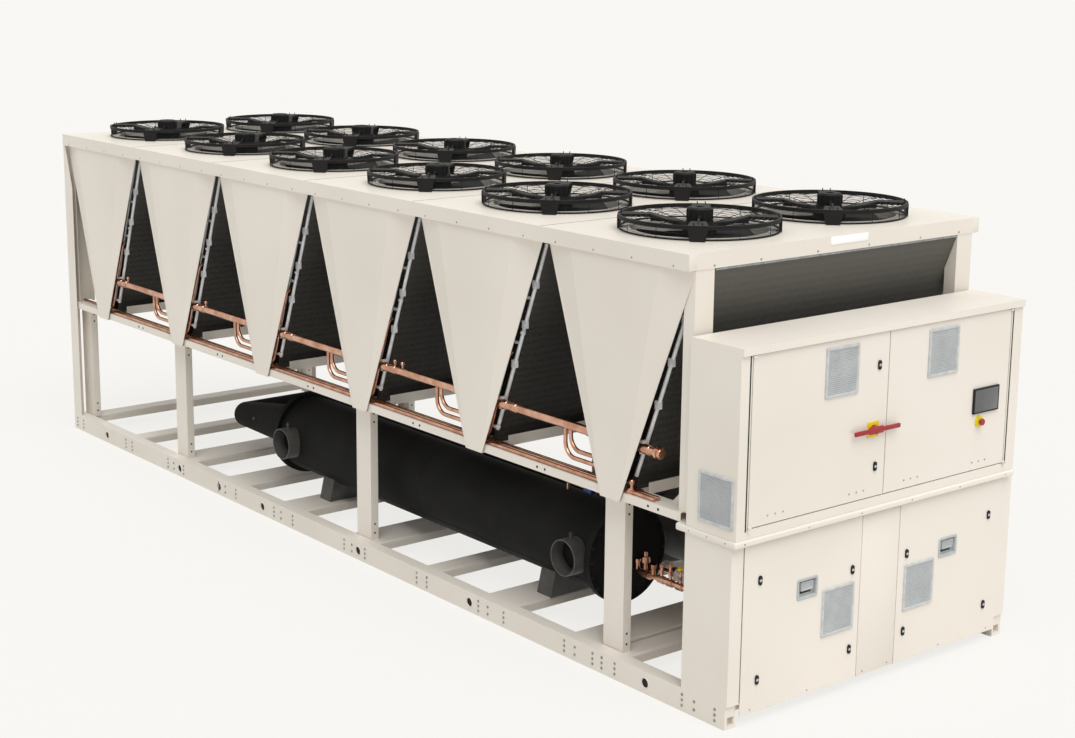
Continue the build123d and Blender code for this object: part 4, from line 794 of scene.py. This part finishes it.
# painted shade: a thin dark strip in each cup stands for the shade in the finger slot
bm, slots = bmesh.new(), bmesh.new()
for y in GRIPS_Y:
    place = Vector((PANEL_FACE, y, GRIP_Z))
    cup = place + CUP_SHIFT
    add_framed(bm, place, ALONG, ACROSS, GRIP_W, GRIP_H, GRIP_CORNER, GRIP_RIM)
    add_framed(bm, cup, ALONG, ACROSS, CUP_W, CUP_H, CUP_CORNER, CUP_RIM)
    add_block(slots, cup + SLOT_SHIFT, cup + SLOT_SHIFT + SLOT_SIZE, SLOT_ROUND)
make_piece("grip_trays", bm, vent_grey, "chiller")
make_piece("grip_slot_shade", slots, rubber_and_painted_shade, "chiller")

# %% Latch keys
OUTER_LATCHES = [(y, z) for y in (-0.909, 0.909) for z in (0.230, 0.760)]
INNER_LATCHES = [(y, z) for y in (-0.217, 0.217) for z in (0.230, 0.672)]
DOOR_LATCHES = [(-0.111, z) for z in (1.223, 1.765)]
LATCH_OUT = 0.007
PIVOT = [(0.0075, -0.001), (0.0075, 0.0008), (0.006, 0.0016)]
KEY_HALF_W, KEY_HALF_H, KEY_BACK, KEY_FRONT, KEY_ROUND = 0.0105, 0.0022, 0.001, 0.002, 0.0006

def add_key(bm, face, y, z):
    """The light key insert in the middle of a latch, and its small pivot."""
    add_turned(bm, (face, y, z), ALONG, PIVOT, 14)
    low = (face + KEY_BACK, y - KEY_HALF_W, z - KEY_HALF_H)
    add_block(bm, low, (face + KEY_FRONT, y + KEY_HALF_W, z + KEY_HALF_H), KEY_ROUND, 1)

bm = bmesh.new()
for y, z in OUTER_LATCHES + INNER_LATCHES:
    add_key(bm, PANEL_FACE + LATCH_OUT, y, z)
make_piece("panel_latch_keys", bm, vent_grey, "chiller")
bm = bmesh.new()
for y, z in DOOR_LATCHES:
    add_key(bm, DOOR_FACE + LATCH_OUT, y, z)
make_piece("door_latch_keys", bm, vent_grey, "left_door")

# %% [markdown]
# ## Doors
# A foamed rubber seal lies in the gap round each door leaf, and two rows of three small screws sit
# low on each leaf, where the wiring brackets are fixed inside.

# %% Seals and door screws
door_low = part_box("door_left")[0]
leaf_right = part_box("door_right")[1].y
SEAM_Y, SEAL_BACK, SEAL_FRONT, SEAL_HALF = -0.035, DOOR_FACE - 0.0225, DOOR_FACE - 0.0205, 0.010
SEAL_IN, SEAL_LOW, SEAL_TOP, SILL_LOW, SILL_TOP = 0.003, door_low.z + 0.002, 1.938, 1.058, 1.070
EDGE_LINES, EDGE_W, EDGE_TOP = (door_low.y - 0.0150, leaf_right + 0.0062), 0.009, 1.942
EDGE_BACK, EDGE_FRONT = DOOR_FACE - 0.001, DOOR_FACE + 0.0008
bm = bmesh.new()
for y in (door_low.y + SEAL_IN, SEAM_Y, leaf_right - SEAL_IN):
    add_block(bm, (SEAL_BACK, y - SEAL_HALF, SEAL_LOW), (SEAL_FRONT, y + SEAL_HALF, SEAL_TOP))
add_block(bm, (SEAL_BACK, door_low.y, SILL_LOW), (SEAL_FRONT, leaf_right, SILL_TOP))
for y in EDGE_LINES:
    add_block(bm, (EDGE_BACK, y, door_low.z), (EDGE_FRONT, y + EDGE_W, EDGE_TOP))
make_piece("door_seals", bm, rubber_and_painted_shade, "chiller")

ROW_STARTS = (("left_door_screws", "left_door", (-0.90, -0.30)),
              ("right_door_screws", "right_door", (0.13, 0.70)))
ROW_COUNT, ROW_STEP, ROW_Z, DOOR_SCREW_R = 3, 0.055, 1.105, 0.005
for name, body, starts in ROW_STARTS:
    bm = bmesh.new()
    for y in [start + k * ROW_STEP for start in starts for k in range(ROW_COUNT)]:
        add_screw(bm, (DOOR_FACE, y, ROW_Z), ALONG, DOOR_SCREW_R)
    make_piece(name, bm, zinc, body)

# %% [markdown]
# The display has a glass pane set in its frame. The switch grip is a long bar with rounded ends on
# a stepped hub, which the solid model only blocks out, so it is replaced.

# %% Display and switch
screen_low, screen_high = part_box("display_screen")
PANE_IN_Y, PANE_IN_Z, PANE_SUNK, PANE_PROUD = 0.009, 0.008, 0.0035, 0.0008
bm = bmesh.new()
low = (screen_high.x - PANE_SUNK, screen_low.y + PANE_IN_Y, screen_low.z + PANE_IN_Z)
high = (screen_high.x + PANE_PROUD, screen_high.y - PANE_IN_Y, screen_high.z - PANE_IN_Z)
add_block(bm, low, high, PANE_PROUD)
make_piece("display_pane", bm, glass, "right_door")

grip_low, grip_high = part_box("main_switch_handle")
SWITCH = Vector((DOOR_FACE + 0.0045, -0.140, 1.427))
BAR_T, BAR_HALF, BAR_ROUND = 0.017, 0.0125, 0.0075
SHOULDER_BACK, SHOULDER_FRONT, SHOULDER_L, SHOULDER_H, SHOULDER_ROUND = 0.0165, 0.002, 0.055, 0.0195, 0.007
HUB = [(0.0238, 0.0), (0.0238, 0.010), (0.020, 0.013), (0.022, 0.0165), (0.022, 0.026), (0.018, 0.0298)]
bm = bmesh.new()
low = (grip_high.x - BAR_T, grip_low.y, SWITCH.z - BAR_HALF)
add_block(bm, low, (grip_high.x, grip_high.y, SWITCH.z + BAR_HALF), BAR_ROUND, 4)
add_turned(bm, SWITCH, ALONG, HUB, 32)
low = (grip_high.x - SHOULDER_BACK, SWITCH.y - SHOULDER_L, SWITCH.z - SHOULDER_H)
high = (grip_high.x - SHOULDER_FRONT, SWITCH.y + SHOULDER_L, SWITCH.z + SHOULDER_H)
add_block(bm, low, high, SHOULDER_ROUND, 3)
grip = make_piece("switch_grip", bm, red, "switch_handle")
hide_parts("main_switch_handle")

# %% [markdown]
# ## Cabinet trim
# Small screws run along the band between the two cabinets and along the foot of the panels. Thin
# dark strips paint the shade in the seams beside the folded corner posts, a flush cover closes the
# strip between the lift-off panels, and the roof has a rolled lip in bare white, a painted highlight
# along its edge.

# %% Cabinet trim
roof_low, roof_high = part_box("upper_cabinet")
BAND_Z, BAND_FRONT, PANEL_SCREW_Z, TRIM_SCREW_R = 0.986, DOOR_FACE + 0.008, 0.078, 0.0045
BAND_SIDES, BAND_SIDE_X = ((-1, -1.125), (1, 1.081)), (3.42, 3.55, 3.68)
bm = bmesh.new()
for y in (-1.06, -0.6, -0.2, 0.2, 0.6, 1.0):
    add_screw(bm, (BAND_FRONT, y, BAND_Z), ALONG, TRIM_SCREW_R)
for x in BAND_SIDE_X:
    for side, face in BAND_SIDES:
        add_screw(bm, (x, face, BAND_Z), (0, side, 0), TRIM_SCREW_R)
for y in (-0.95, -0.53, -0.1, 0.1, 0.53, 0.95):
    add_screw(bm, (PANEL_FACE, y, PANEL_SCREW_Z), ALONG, TRIM_SCREW_R)
make_piece("cabinet_screws", bm, zinc, "chiller")

lower_low, lower_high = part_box("lower_cabinet")
SHADOW_LINE_IN, SHADOW_LINE_HALF, SHADOW_LINE_SUNK, SHADOW_LINE_PROUD = 0.0865, 0.0015, 0.001, 0.0006
SHADOW_LINE_LOW, SHADOW_LINE_TOP = 0.130, 0.955
# painted shade: thin dark strips stand for the shade in the seams beside the corner posts
bm = bmesh.new()
for y in (lower_low.y + SHADOW_LINE_IN, lower_high.y - SHADOW_LINE_IN):
    low = (lower_high.x - SHADOW_LINE_SUNK, y - SHADOW_LINE_HALF, SHADOW_LINE_LOW)
    add_block(bm, low, (lower_high.x + SHADOW_LINE_PROUD, y + SHADOW_LINE_HALF, SHADOW_LINE_TOP))
make_piece("panel_shadow_lines", bm, rubber_and_painted_shade, "chiller")

COVER_HALF, COVER_FOOT, COVER_HEAD, COVER_ROUND = 0.1475, 0.057, 0.952, 0.001
COVER_BACK, COVER_FRONT = PANEL_FACE - 0.0048, PANEL_FACE - 0.0002
bm = bmesh.new()
add_block(bm, (COVER_BACK, -COVER_HALF, COVER_FOOT), (COVER_FRONT, COVER_HALF, COVER_HEAD), COVER_ROUND)
make_piece("middle_cover", bm, paint, "chiller")

# painted highlight: the rolled lip is drawn in bare white so that the roof's edge shows a bright line
LIP_R, LIP_IN, LIP_STEP = 0.005, 0.03, 0.010
bm = bmesh.new()
for drop, radius in ((0, LIP_R), (LIP_STEP, LIP_R * 0.8)):
    z = roof_high.z - LIP_R - drop
    ends = [(roof_high.x - LIP_R, y, z) for y in (roof_low.y + LIP_IN, roof_high.y - LIP_IN)]
    add_tube(bm, ends, radius, 10)
make_piece("roof_lip_highlight", bm, bare_white_and_lip_highlight, "chiller")

# %% [markdown]
# ## Evaporator
# The foam is laid on in sheets, so bands of glued joints run round the shell and a seam runs along
# each side. Both end flanges are ringed with bolts, each nozzle has its vent plug, and a small
# fitting stands out of the hood at the far end.

# %% Evaporator fittings
axis_y, axis_z = (shell_low.y + shell_high.y) / 2, (shell_low.z + shell_high.z) / 2
BODY_R, END_FLANGE_R = 0.258, (shell_high.z - shell_low.z) / 2
SHEETS, FOAM_END, BAND_SUNK, BAND_R = 4, 0.08, 0.0004, 0.0016
LONG_SEAMS, LONG_SEAM_IN, LONG_SEAM_R, LONG_SEAM_OUT = (35, 215), 0.085, 0.0018, BODY_R + 0.0004

def shell_ring(x, radius, count=48):
    """Points of a circle round the shell."""
    return ring_points(Vector((x, axis_y, axis_z)), radius, count, ACROSS, UP)

bm = bmesh.new()
for k in range(1, SHEETS):
    x = shell_low.x + FOAM_END + k * (shell_high.x - shell_low.x - 2 * FOAM_END) / SHEETS
    add_tube(bm, shell_ring(x, BODY_R - BAND_SUNK), BAND_R, 5, closed=True)
for angle in LONG_SEAMS:
    a = math.radians(angle)
    y, z = axis_y + LONG_SEAM_OUT * math.cos(a), axis_z + LONG_SEAM_OUT * math.sin(a)
    ends = (shell_low.x + LONG_SEAM_IN, shell_high.x - LONG_SEAM_IN)
    add_tube(bm, [(x, y, z) for x in ends], LONG_SEAM_R, 5)
make_piece("foam_seams", bm, foam, "chiller")

FLANGE_BOLTS, FLANGE_BOLT_R, FLANGE_BOLT_H, BOLT_CIRCLE_IN, FLANGE_FACE = 20, 0.010, 0.009, 0.016, 0.036
bm = bmesh.new()
for x, way in ((shell_low.x + FLANGE_FACE, -1), (shell_high.x - FLANGE_FACE, 1)):
    for point in shell_ring(x, END_FLANGE_R - BOLT_CIRCLE_IN, FLANGE_BOLTS):
        add_bolt(bm, point, (way, 0, 0), FLANGE_BOLT_R, FLANGE_BOLT_H)
make_piece("flange_bolts", bm, rotor_black, "chiller")

NOZZLES_X, PLUG_Y, PLUG_RISE = (-0.874, 2.188), -0.860, 0.126
PLUG = [(0.013, 0), (0.013, 0.010), (0.007, 0.012), (0.007, 0.018)]
HOOD_FITTING = [(0.012, 0), (0.012, 0.02), (0.007, 0.024)]
HOOD_PLACE, HOOD_WAY = (-1.62, axis_y - 0.105, 0.455), (-0.2, -0.95, 0.2)
bm = bmesh.new()
for x in NOZZLES_X:
    add_turned(bm, (x, PLUG_Y, axis_z + PLUG_RISE), UP, PLUG, 6)
add_turned(bm, HOOD_PLACE, HOOD_WAY, HOOD_FITTING, 12)
make_piece("vent_plugs", bm, primer, "chiller")

# %% [markdown]
# ## Copper fittings
# Soldered sleeves thicken the gas lines beside every coil, small service caps stand on them, and
# a third line lies beside the two on the rail and ends in a valve.

# %% Lines along the coils
GAS_Y, GAS_Z, GAS_R, CAP_SINK = 1.063, 1.312, 0.025, 0.003
SLEEVES = (-0.235, 0.215, 0.30)
SLEEVE = [(GAS_R + 0.0005, 0), (GAS_R + 0.0035, 0.003), (GAS_R + 0.0035, 0.045), (GAS_R + 0.0005, 0.048)]
CAPS = ((3, 0.33), (3, 0.41), (1, 0.36), (0, 0.35))    # module and distance from its middle
SERVICE_CAP = [(0.006, 0), (0.006, 0.022), (0.011, 0.023), (0.011, 0.036), (0.008, 0.040)]
RAIL_TOP, THIRD_LINE_Y, THIRD_LINE_R = 1.050, 1.017, 0.010
THIRD_LINE_ENDS = (mid_low.x + 0.05, 2.955)
END_PLACE, SLEEVE_BACK, VALVE_BACK = (2.975, 1.073, RAIL_TOP + 0.014), 0.085, 0.045
END_SLEEVE = [(0.016, 0), (0.019, 0.004), (0.019, 0.030), (0.0135, 0.034)]
END_VALVE = [(0.010, 0), (0.010, 0.040), (0.017, 0.042), (0.017, 0.060), (0.012, 0.066)]
bm = bmesh.new()
for side in (-1, 1):
    for x in [module + shift for module in MODULE for shift in SLEEVES]:
        add_turned(bm, (x, side * GAS_Y, GAS_Z), ALONG, SLEEVE, 20)
    for number, shift in CAPS:
        place = (MODULE[number] + shift, side * GAS_Y, GAS_Z + GAS_R - CAP_SINK)
        add_turned(bm, place, UP, SERVICE_CAP, 12)
    line = [(x, side * THIRD_LINE_Y, RAIL_TOP + THIRD_LINE_R) for x in THIRD_LINE_ENDS]
    add_tube(bm, line, THIRD_LINE_R, 12)
    end = Vector((END_PLACE[0], side * END_PLACE[1], END_PLACE[2]))
    add_turned(bm, end - ALONG * SLEEVE_BACK, ALONG, END_SLEEVE, 16)
    add_turned(bm, end - ALONG * VALVE_BACK, UP, END_VALVE, 14)
make_piece("copper_sleeves", bm, copper, "chiller")

# %% [markdown]
# A blue solenoid coil sits on the feed over the evaporator. By the cabinet a row of shut-off
# valves stands on the liquid line, the last of them under a yellow cap, and a light sleeve wraps
# the filter drier behind them.

# %% Solenoid, valves and drier
SOLENOID = Vector((2.020, axis_y, axis_z + BODY_R + 0.047))
COIL_BELOW, COIL_ABOVE, COIL_ROUND = Vector((0.036, 0.026, 0.022)), Vector((0.036, 0.026, 0.026)), 0.008
bm = bmesh.new()
add_block(bm, SOLENOID - COIL_BELOW, SOLENOID + COIL_ABOVE, COIL_ROUND, 3)
make_piece("solenoid_coil", bm, blue, "chiller")

FEED_REACH, FEED_DROP, FEED_R = 0.20, 0.060, 0.010
LIQUID_VALVE = Vector((2.5103, -0.576, 0.392))     # where the shut-off valve of the solid model is
VALVES = ((0.135, 0.070), (0.205, 0.092), (0.285, 0.074))     # distance from it, and height
STEM_R, STEM_LIFT, TEE_BACK = 0.009, 0.006, 0.026
NUT_R, NUT_H, NUT_SHARE, TOP_DROP = 0.014, 0.016, 0.45, 0.004
TEE = [(0.019, 0), (0.023, 0.004), (0.023, 0.048), (0.019, 0.052)]
STEM_TOP = [(0.013, 0), (0.015, 0.003), (0.015, 0.018), (0.010, 0.022)]
bm = bmesh.new()
near, far = SOLENOID - ALONG * FEED_REACH, SOLENOID + ALONG * FEED_REACH
drop = UP * FEED_DROP
add_tube(bm, [near - drop, near, SOLENOID, far, far - drop], FEED_R, 10)
for shift, tall in VALVES:
    foot = LIQUID_VALVE + Vector((shift, 0, STEM_LIFT))
    add_turned(bm, foot - Vector((TEE_BACK, 0, STEM_LIFT)), ALONG, TEE, 16)
    add_tube(bm, [foot, foot + UP * tall], STEM_R, 10)
    add_disc(bm, foot + UP * (tall * NUT_SHARE), UP, NUT_R, NUT_H, 6)
    add_turned(bm, foot + UP * (tall - TOP_DROP), UP, STEM_TOP, 14)
make_piece("liquid_valves", bm, copper, "chiller")

YELLOW_RISE = 0.096
YELLOW_CAP = [(0.0155, 0), (0.0155, 0.012), (0.010, 0.015)]
bm = bmesh.new()
add_turned(bm, LIQUID_VALVE + Vector((VALVES[-1][0], 0, YELLOW_RISE)), UP, YELLOW_CAP, 14)
make_piece("valve_cap", bm, yellow, "chiller")

DRIER, DRIER_L, DRIER_R = Vector((2.6202, -0.475, 0.405)), 0.26, 0.036
WRAP_L, WRAP_START, WRAP_T, WRAP_EDGE = DRIER_L * 0.62, DRIER_L * 0.19, 0.0015, 0.002
WRAP_R = DRIER_R + WRAP_T
WRAP = [(DRIER_R, 0), (WRAP_R, WRAP_EDGE), (WRAP_R, WRAP_L), (DRIER_R, WRAP_L + WRAP_EDGE)]
bm = bmesh.new()
add_turned(bm, DRIER + ALONG * WRAP_START, ALONG, WRAP, 28)
make_piece("drier_sleeve", bm, aluminium, "chiller")

# %% [markdown]
# Each coil end wears a light ladder: the header tube of the solid model, a second rail further in
# and rungs between them, with two lugs that reach out to the panel. A thin copper riser runs up
# along it from the gas line, and a bend comes up from the lines on the rail.

# %% Ladders and risers
COIL_RISE, RAIL_FOOT_Z, LADDER_Y = (TOP_HALF - FOOT_HALF) / 1.300, 1.000, 0.096
LADDER_IN, LADDER_R, RUNG_R, HIGH_RISER_R, LOW_RISER_R = 0.078, 0.006, 0.009, 0.0075, 0.0085
# A mark beside a coil is its height, how far in it lies from the coil's outer face, and how deep.
LADDER_RAIL = [(z, LADDER_IN, LADDER_Y) for z in (1.150, 2.262)]
RUNGS = [[(z, 0.010, LADDER_Y), (z, LADDER_IN, LADDER_Y)] for z in (1.15, 1.68, 1.95)]
LUGS = [[(z, 0.012, LADDER_Y - 0.012), (z, -0.016, LADDER_Y - 0.012)] for z in (1.16, 1.746)]
HIGH_RISER = [(1.318, 0.030, 0.062), (1.345, 0.050, 0.066), (1.39, 0.056, 0.072),
              (1.60, 0.056, 0.080), (1.625, 0.040, 0.086)]
LOW_RISER = [(1.074, 0.060, 0.056), (1.09, 0.036, 0.056), (1.13, 0.026, 0.058),
             (1.24, 0.034, 0.064), (1.285, 0.036, 0.064)]

def coil_points(middle, way, side, edge, marks):
    """Points at marks beside the coil that leans one way from the middle of its module."""
    points = []
    for z, inward, depth in marks:
        face = middle + way * (FOOT_HALF + (z - RAIL_FOOT_Z) * COIL_RISE)
        points.append(Vector((face - way * inward, edge - side * depth, z)))
    return points

ladders, risers = bmesh.new(), bmesh.new()
OUTER_COILS = ((MODULE[0], -1), (MODULE[-1], 1))      # they face the ends of the frame
for side, edge in long_sides(deck_low, deck_high):
    for x, way in [(x, way) for x in MODULE for way in (-1, 1) if (x, way) not in OUTER_COILS]:
        add_tube(ladders, coil_points(x, way, side, edge, LADDER_RAIL), LADDER_R, 8)
        for marks in RUNGS + LUGS:
            add_tube(ladders, coil_points(x, way, side, edge, marks), RUNG_R, 8)
        if way == 1:
            add_tube(risers, coil_points(x, way, side, edge, HIGH_RISER), HIGH_RISER_R, 8)
            add_tube(risers, coil_points(x, way, side, edge, LOW_RISER), LOW_RISER_R, 8)
make_piece("coil_ladders", ladders, aluminium, "chiller")
make_piece("copper_risers", risers, copper, "chiller")

# %% [markdown]
# ## Coil trim
# At both ends of the machine the last coil's frame shows as a thin light flange under the deck.

# %% Coil trim
coil_low, coil_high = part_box("condenser_coils")
TRIM_BACK, TRIM_FRONT, TRIM_END, TRIM_LOW, TRIM_TOP, TRIM_ROUND = 0.004, 0.003, 0.08, 0.012, 0.002, 0.001
bm = bmesh.new()
for x in (coil_high.x, coil_low.x):
    low = (x - TRIM_BACK, coil_low.y + TRIM_END, coil_high.z - TRIM_LOW)
    add_block(bm, low, (x + TRIM_FRONT, coil_high.y - TRIM_END, coil_high.z - TRIM_TOP), TRIM_ROUND)
make_piece("coil_flanges", bm, zinc, "chiller")

# %% [markdown]
# ## Stage and light
# The machine stands on a plain pale floor that fills the picture. One broad lamp far off lights
# the tops most, the cabinet end next and the long side least, and a pale sky fills the shade. A
# near lamp would make the floor uneven. The floor looks almost white but still takes the shadow.

# %% Stage
PALE, FLOOR_HALF, FLOOR_PALE = srgb(248, 247, 243), 400, 0.86
FLOOR_LIT = (0.80, 0.79, 0.77, 1)
bm = bmesh.new()
bmesh.ops.create_grid(bm, x_segments=1, y_segments=1, size=FLOOR_HALF)
floor_mesh = bpy.data.meshes.new("floor")
bm.to_mesh(floor_mesh)
bm.free()
floor = bpy.data.objects.new("floor", floor_mesh)
scene.collection.objects.link(floor)

def pale_share(tree, share):
    """How much plain pale the camera and reflections see instead of the lit surface."""
    rays = tree.nodes.new("ShaderNodeLightPath")
    seen = tree.nodes.new("ShaderNodeMath")
    seen.operation = "MAXIMUM"
    tree.links.new(rays.outputs["Is Camera Ray"], seen.inputs[0])
    tree.links.new(rays.outputs["Is Glossy Ray"], seen.inputs[1])
    scaled = tree.nodes.new("ShaderNodeMath")
    scaled.operation = "MULTIPLY"
    scaled.inputs[1].default_value = share
    tree.links.new(seen.outputs[0], scaled.inputs[0])
    return scaled.outputs[0]

def mix_shaders(tree, share, lit, pale, output):
    """Mixes the pale shader over the lit one and sends both out."""
    mix = tree.nodes.new("ShaderNodeMixShader")
    tree.links.new(pale_share(tree, share), mix.inputs["Fac"])
    tree.links.new(lit.outputs[0], mix.inputs[1])
    tree.links.new(pale.outputs[0], mix.inputs[2])
    tree.links.new(mix.outputs[0], tree.nodes[output].inputs["Surface"])

floor_material = bpy.data.materials.new("pale_floor")
floor_material.use_nodes = True
tree = floor_material.node_tree
tree.nodes.remove(tree.nodes["Principled BSDF"])
lit = tree.nodes.new("ShaderNodeBsdfDiffuse")
lit.inputs["Color"].default_value = FLOOR_LIT
glow = tree.nodes.new("ShaderNodeEmission")
glow.inputs["Color"].default_value = PALE
mix_shaders(tree, FLOOR_PALE, lit, glow, "Material Output")
floor_mesh.materials.append(floor_material)
print("floor of", 2 * FLOOR_HALF, "m")

# %% Sky and sun
DAYLIGHT, SKY_STRENGTH = (1.0, 0.995, 0.985), 0.58
SUN_FROM, SUN_STRENGTH, SUN_SPREAD = (0.455, -0.165, 0.875), 2.36, 50
scene.view_settings.view_transform = "Standard"
world = bpy.data.worlds.new("studio")
scene.world = world
world.use_nodes = True
tree = world.node_tree
sky = tree.nodes["Background"]
sky.inputs["Color"].default_value = (*DAYLIGHT, 1)
sky.inputs["Strength"].default_value = SKY_STRENGTH
pale = tree.nodes.new("ShaderNodeBackground")
pale.inputs["Color"].default_value = PALE
mix_shaders(tree, 1.0, sky, pale, "World Output")

key_data = bpy.data.lights.new("key", "SUN")
key_data.energy = SUN_STRENGTH
key_data.angle = math.radians(SUN_SPREAD)
key_data.color = DAYLIGHT
key = bpy.data.objects.new("key", key_data)
key.matrix_world = (-Vector(SUN_FROM)).to_track_quat("-Z", "Y").to_matrix().to_4x4()
scene.collection.objects.link(key)
print("sky", SKY_STRENGTH, "and one sun of", SUN_STRENGTH)
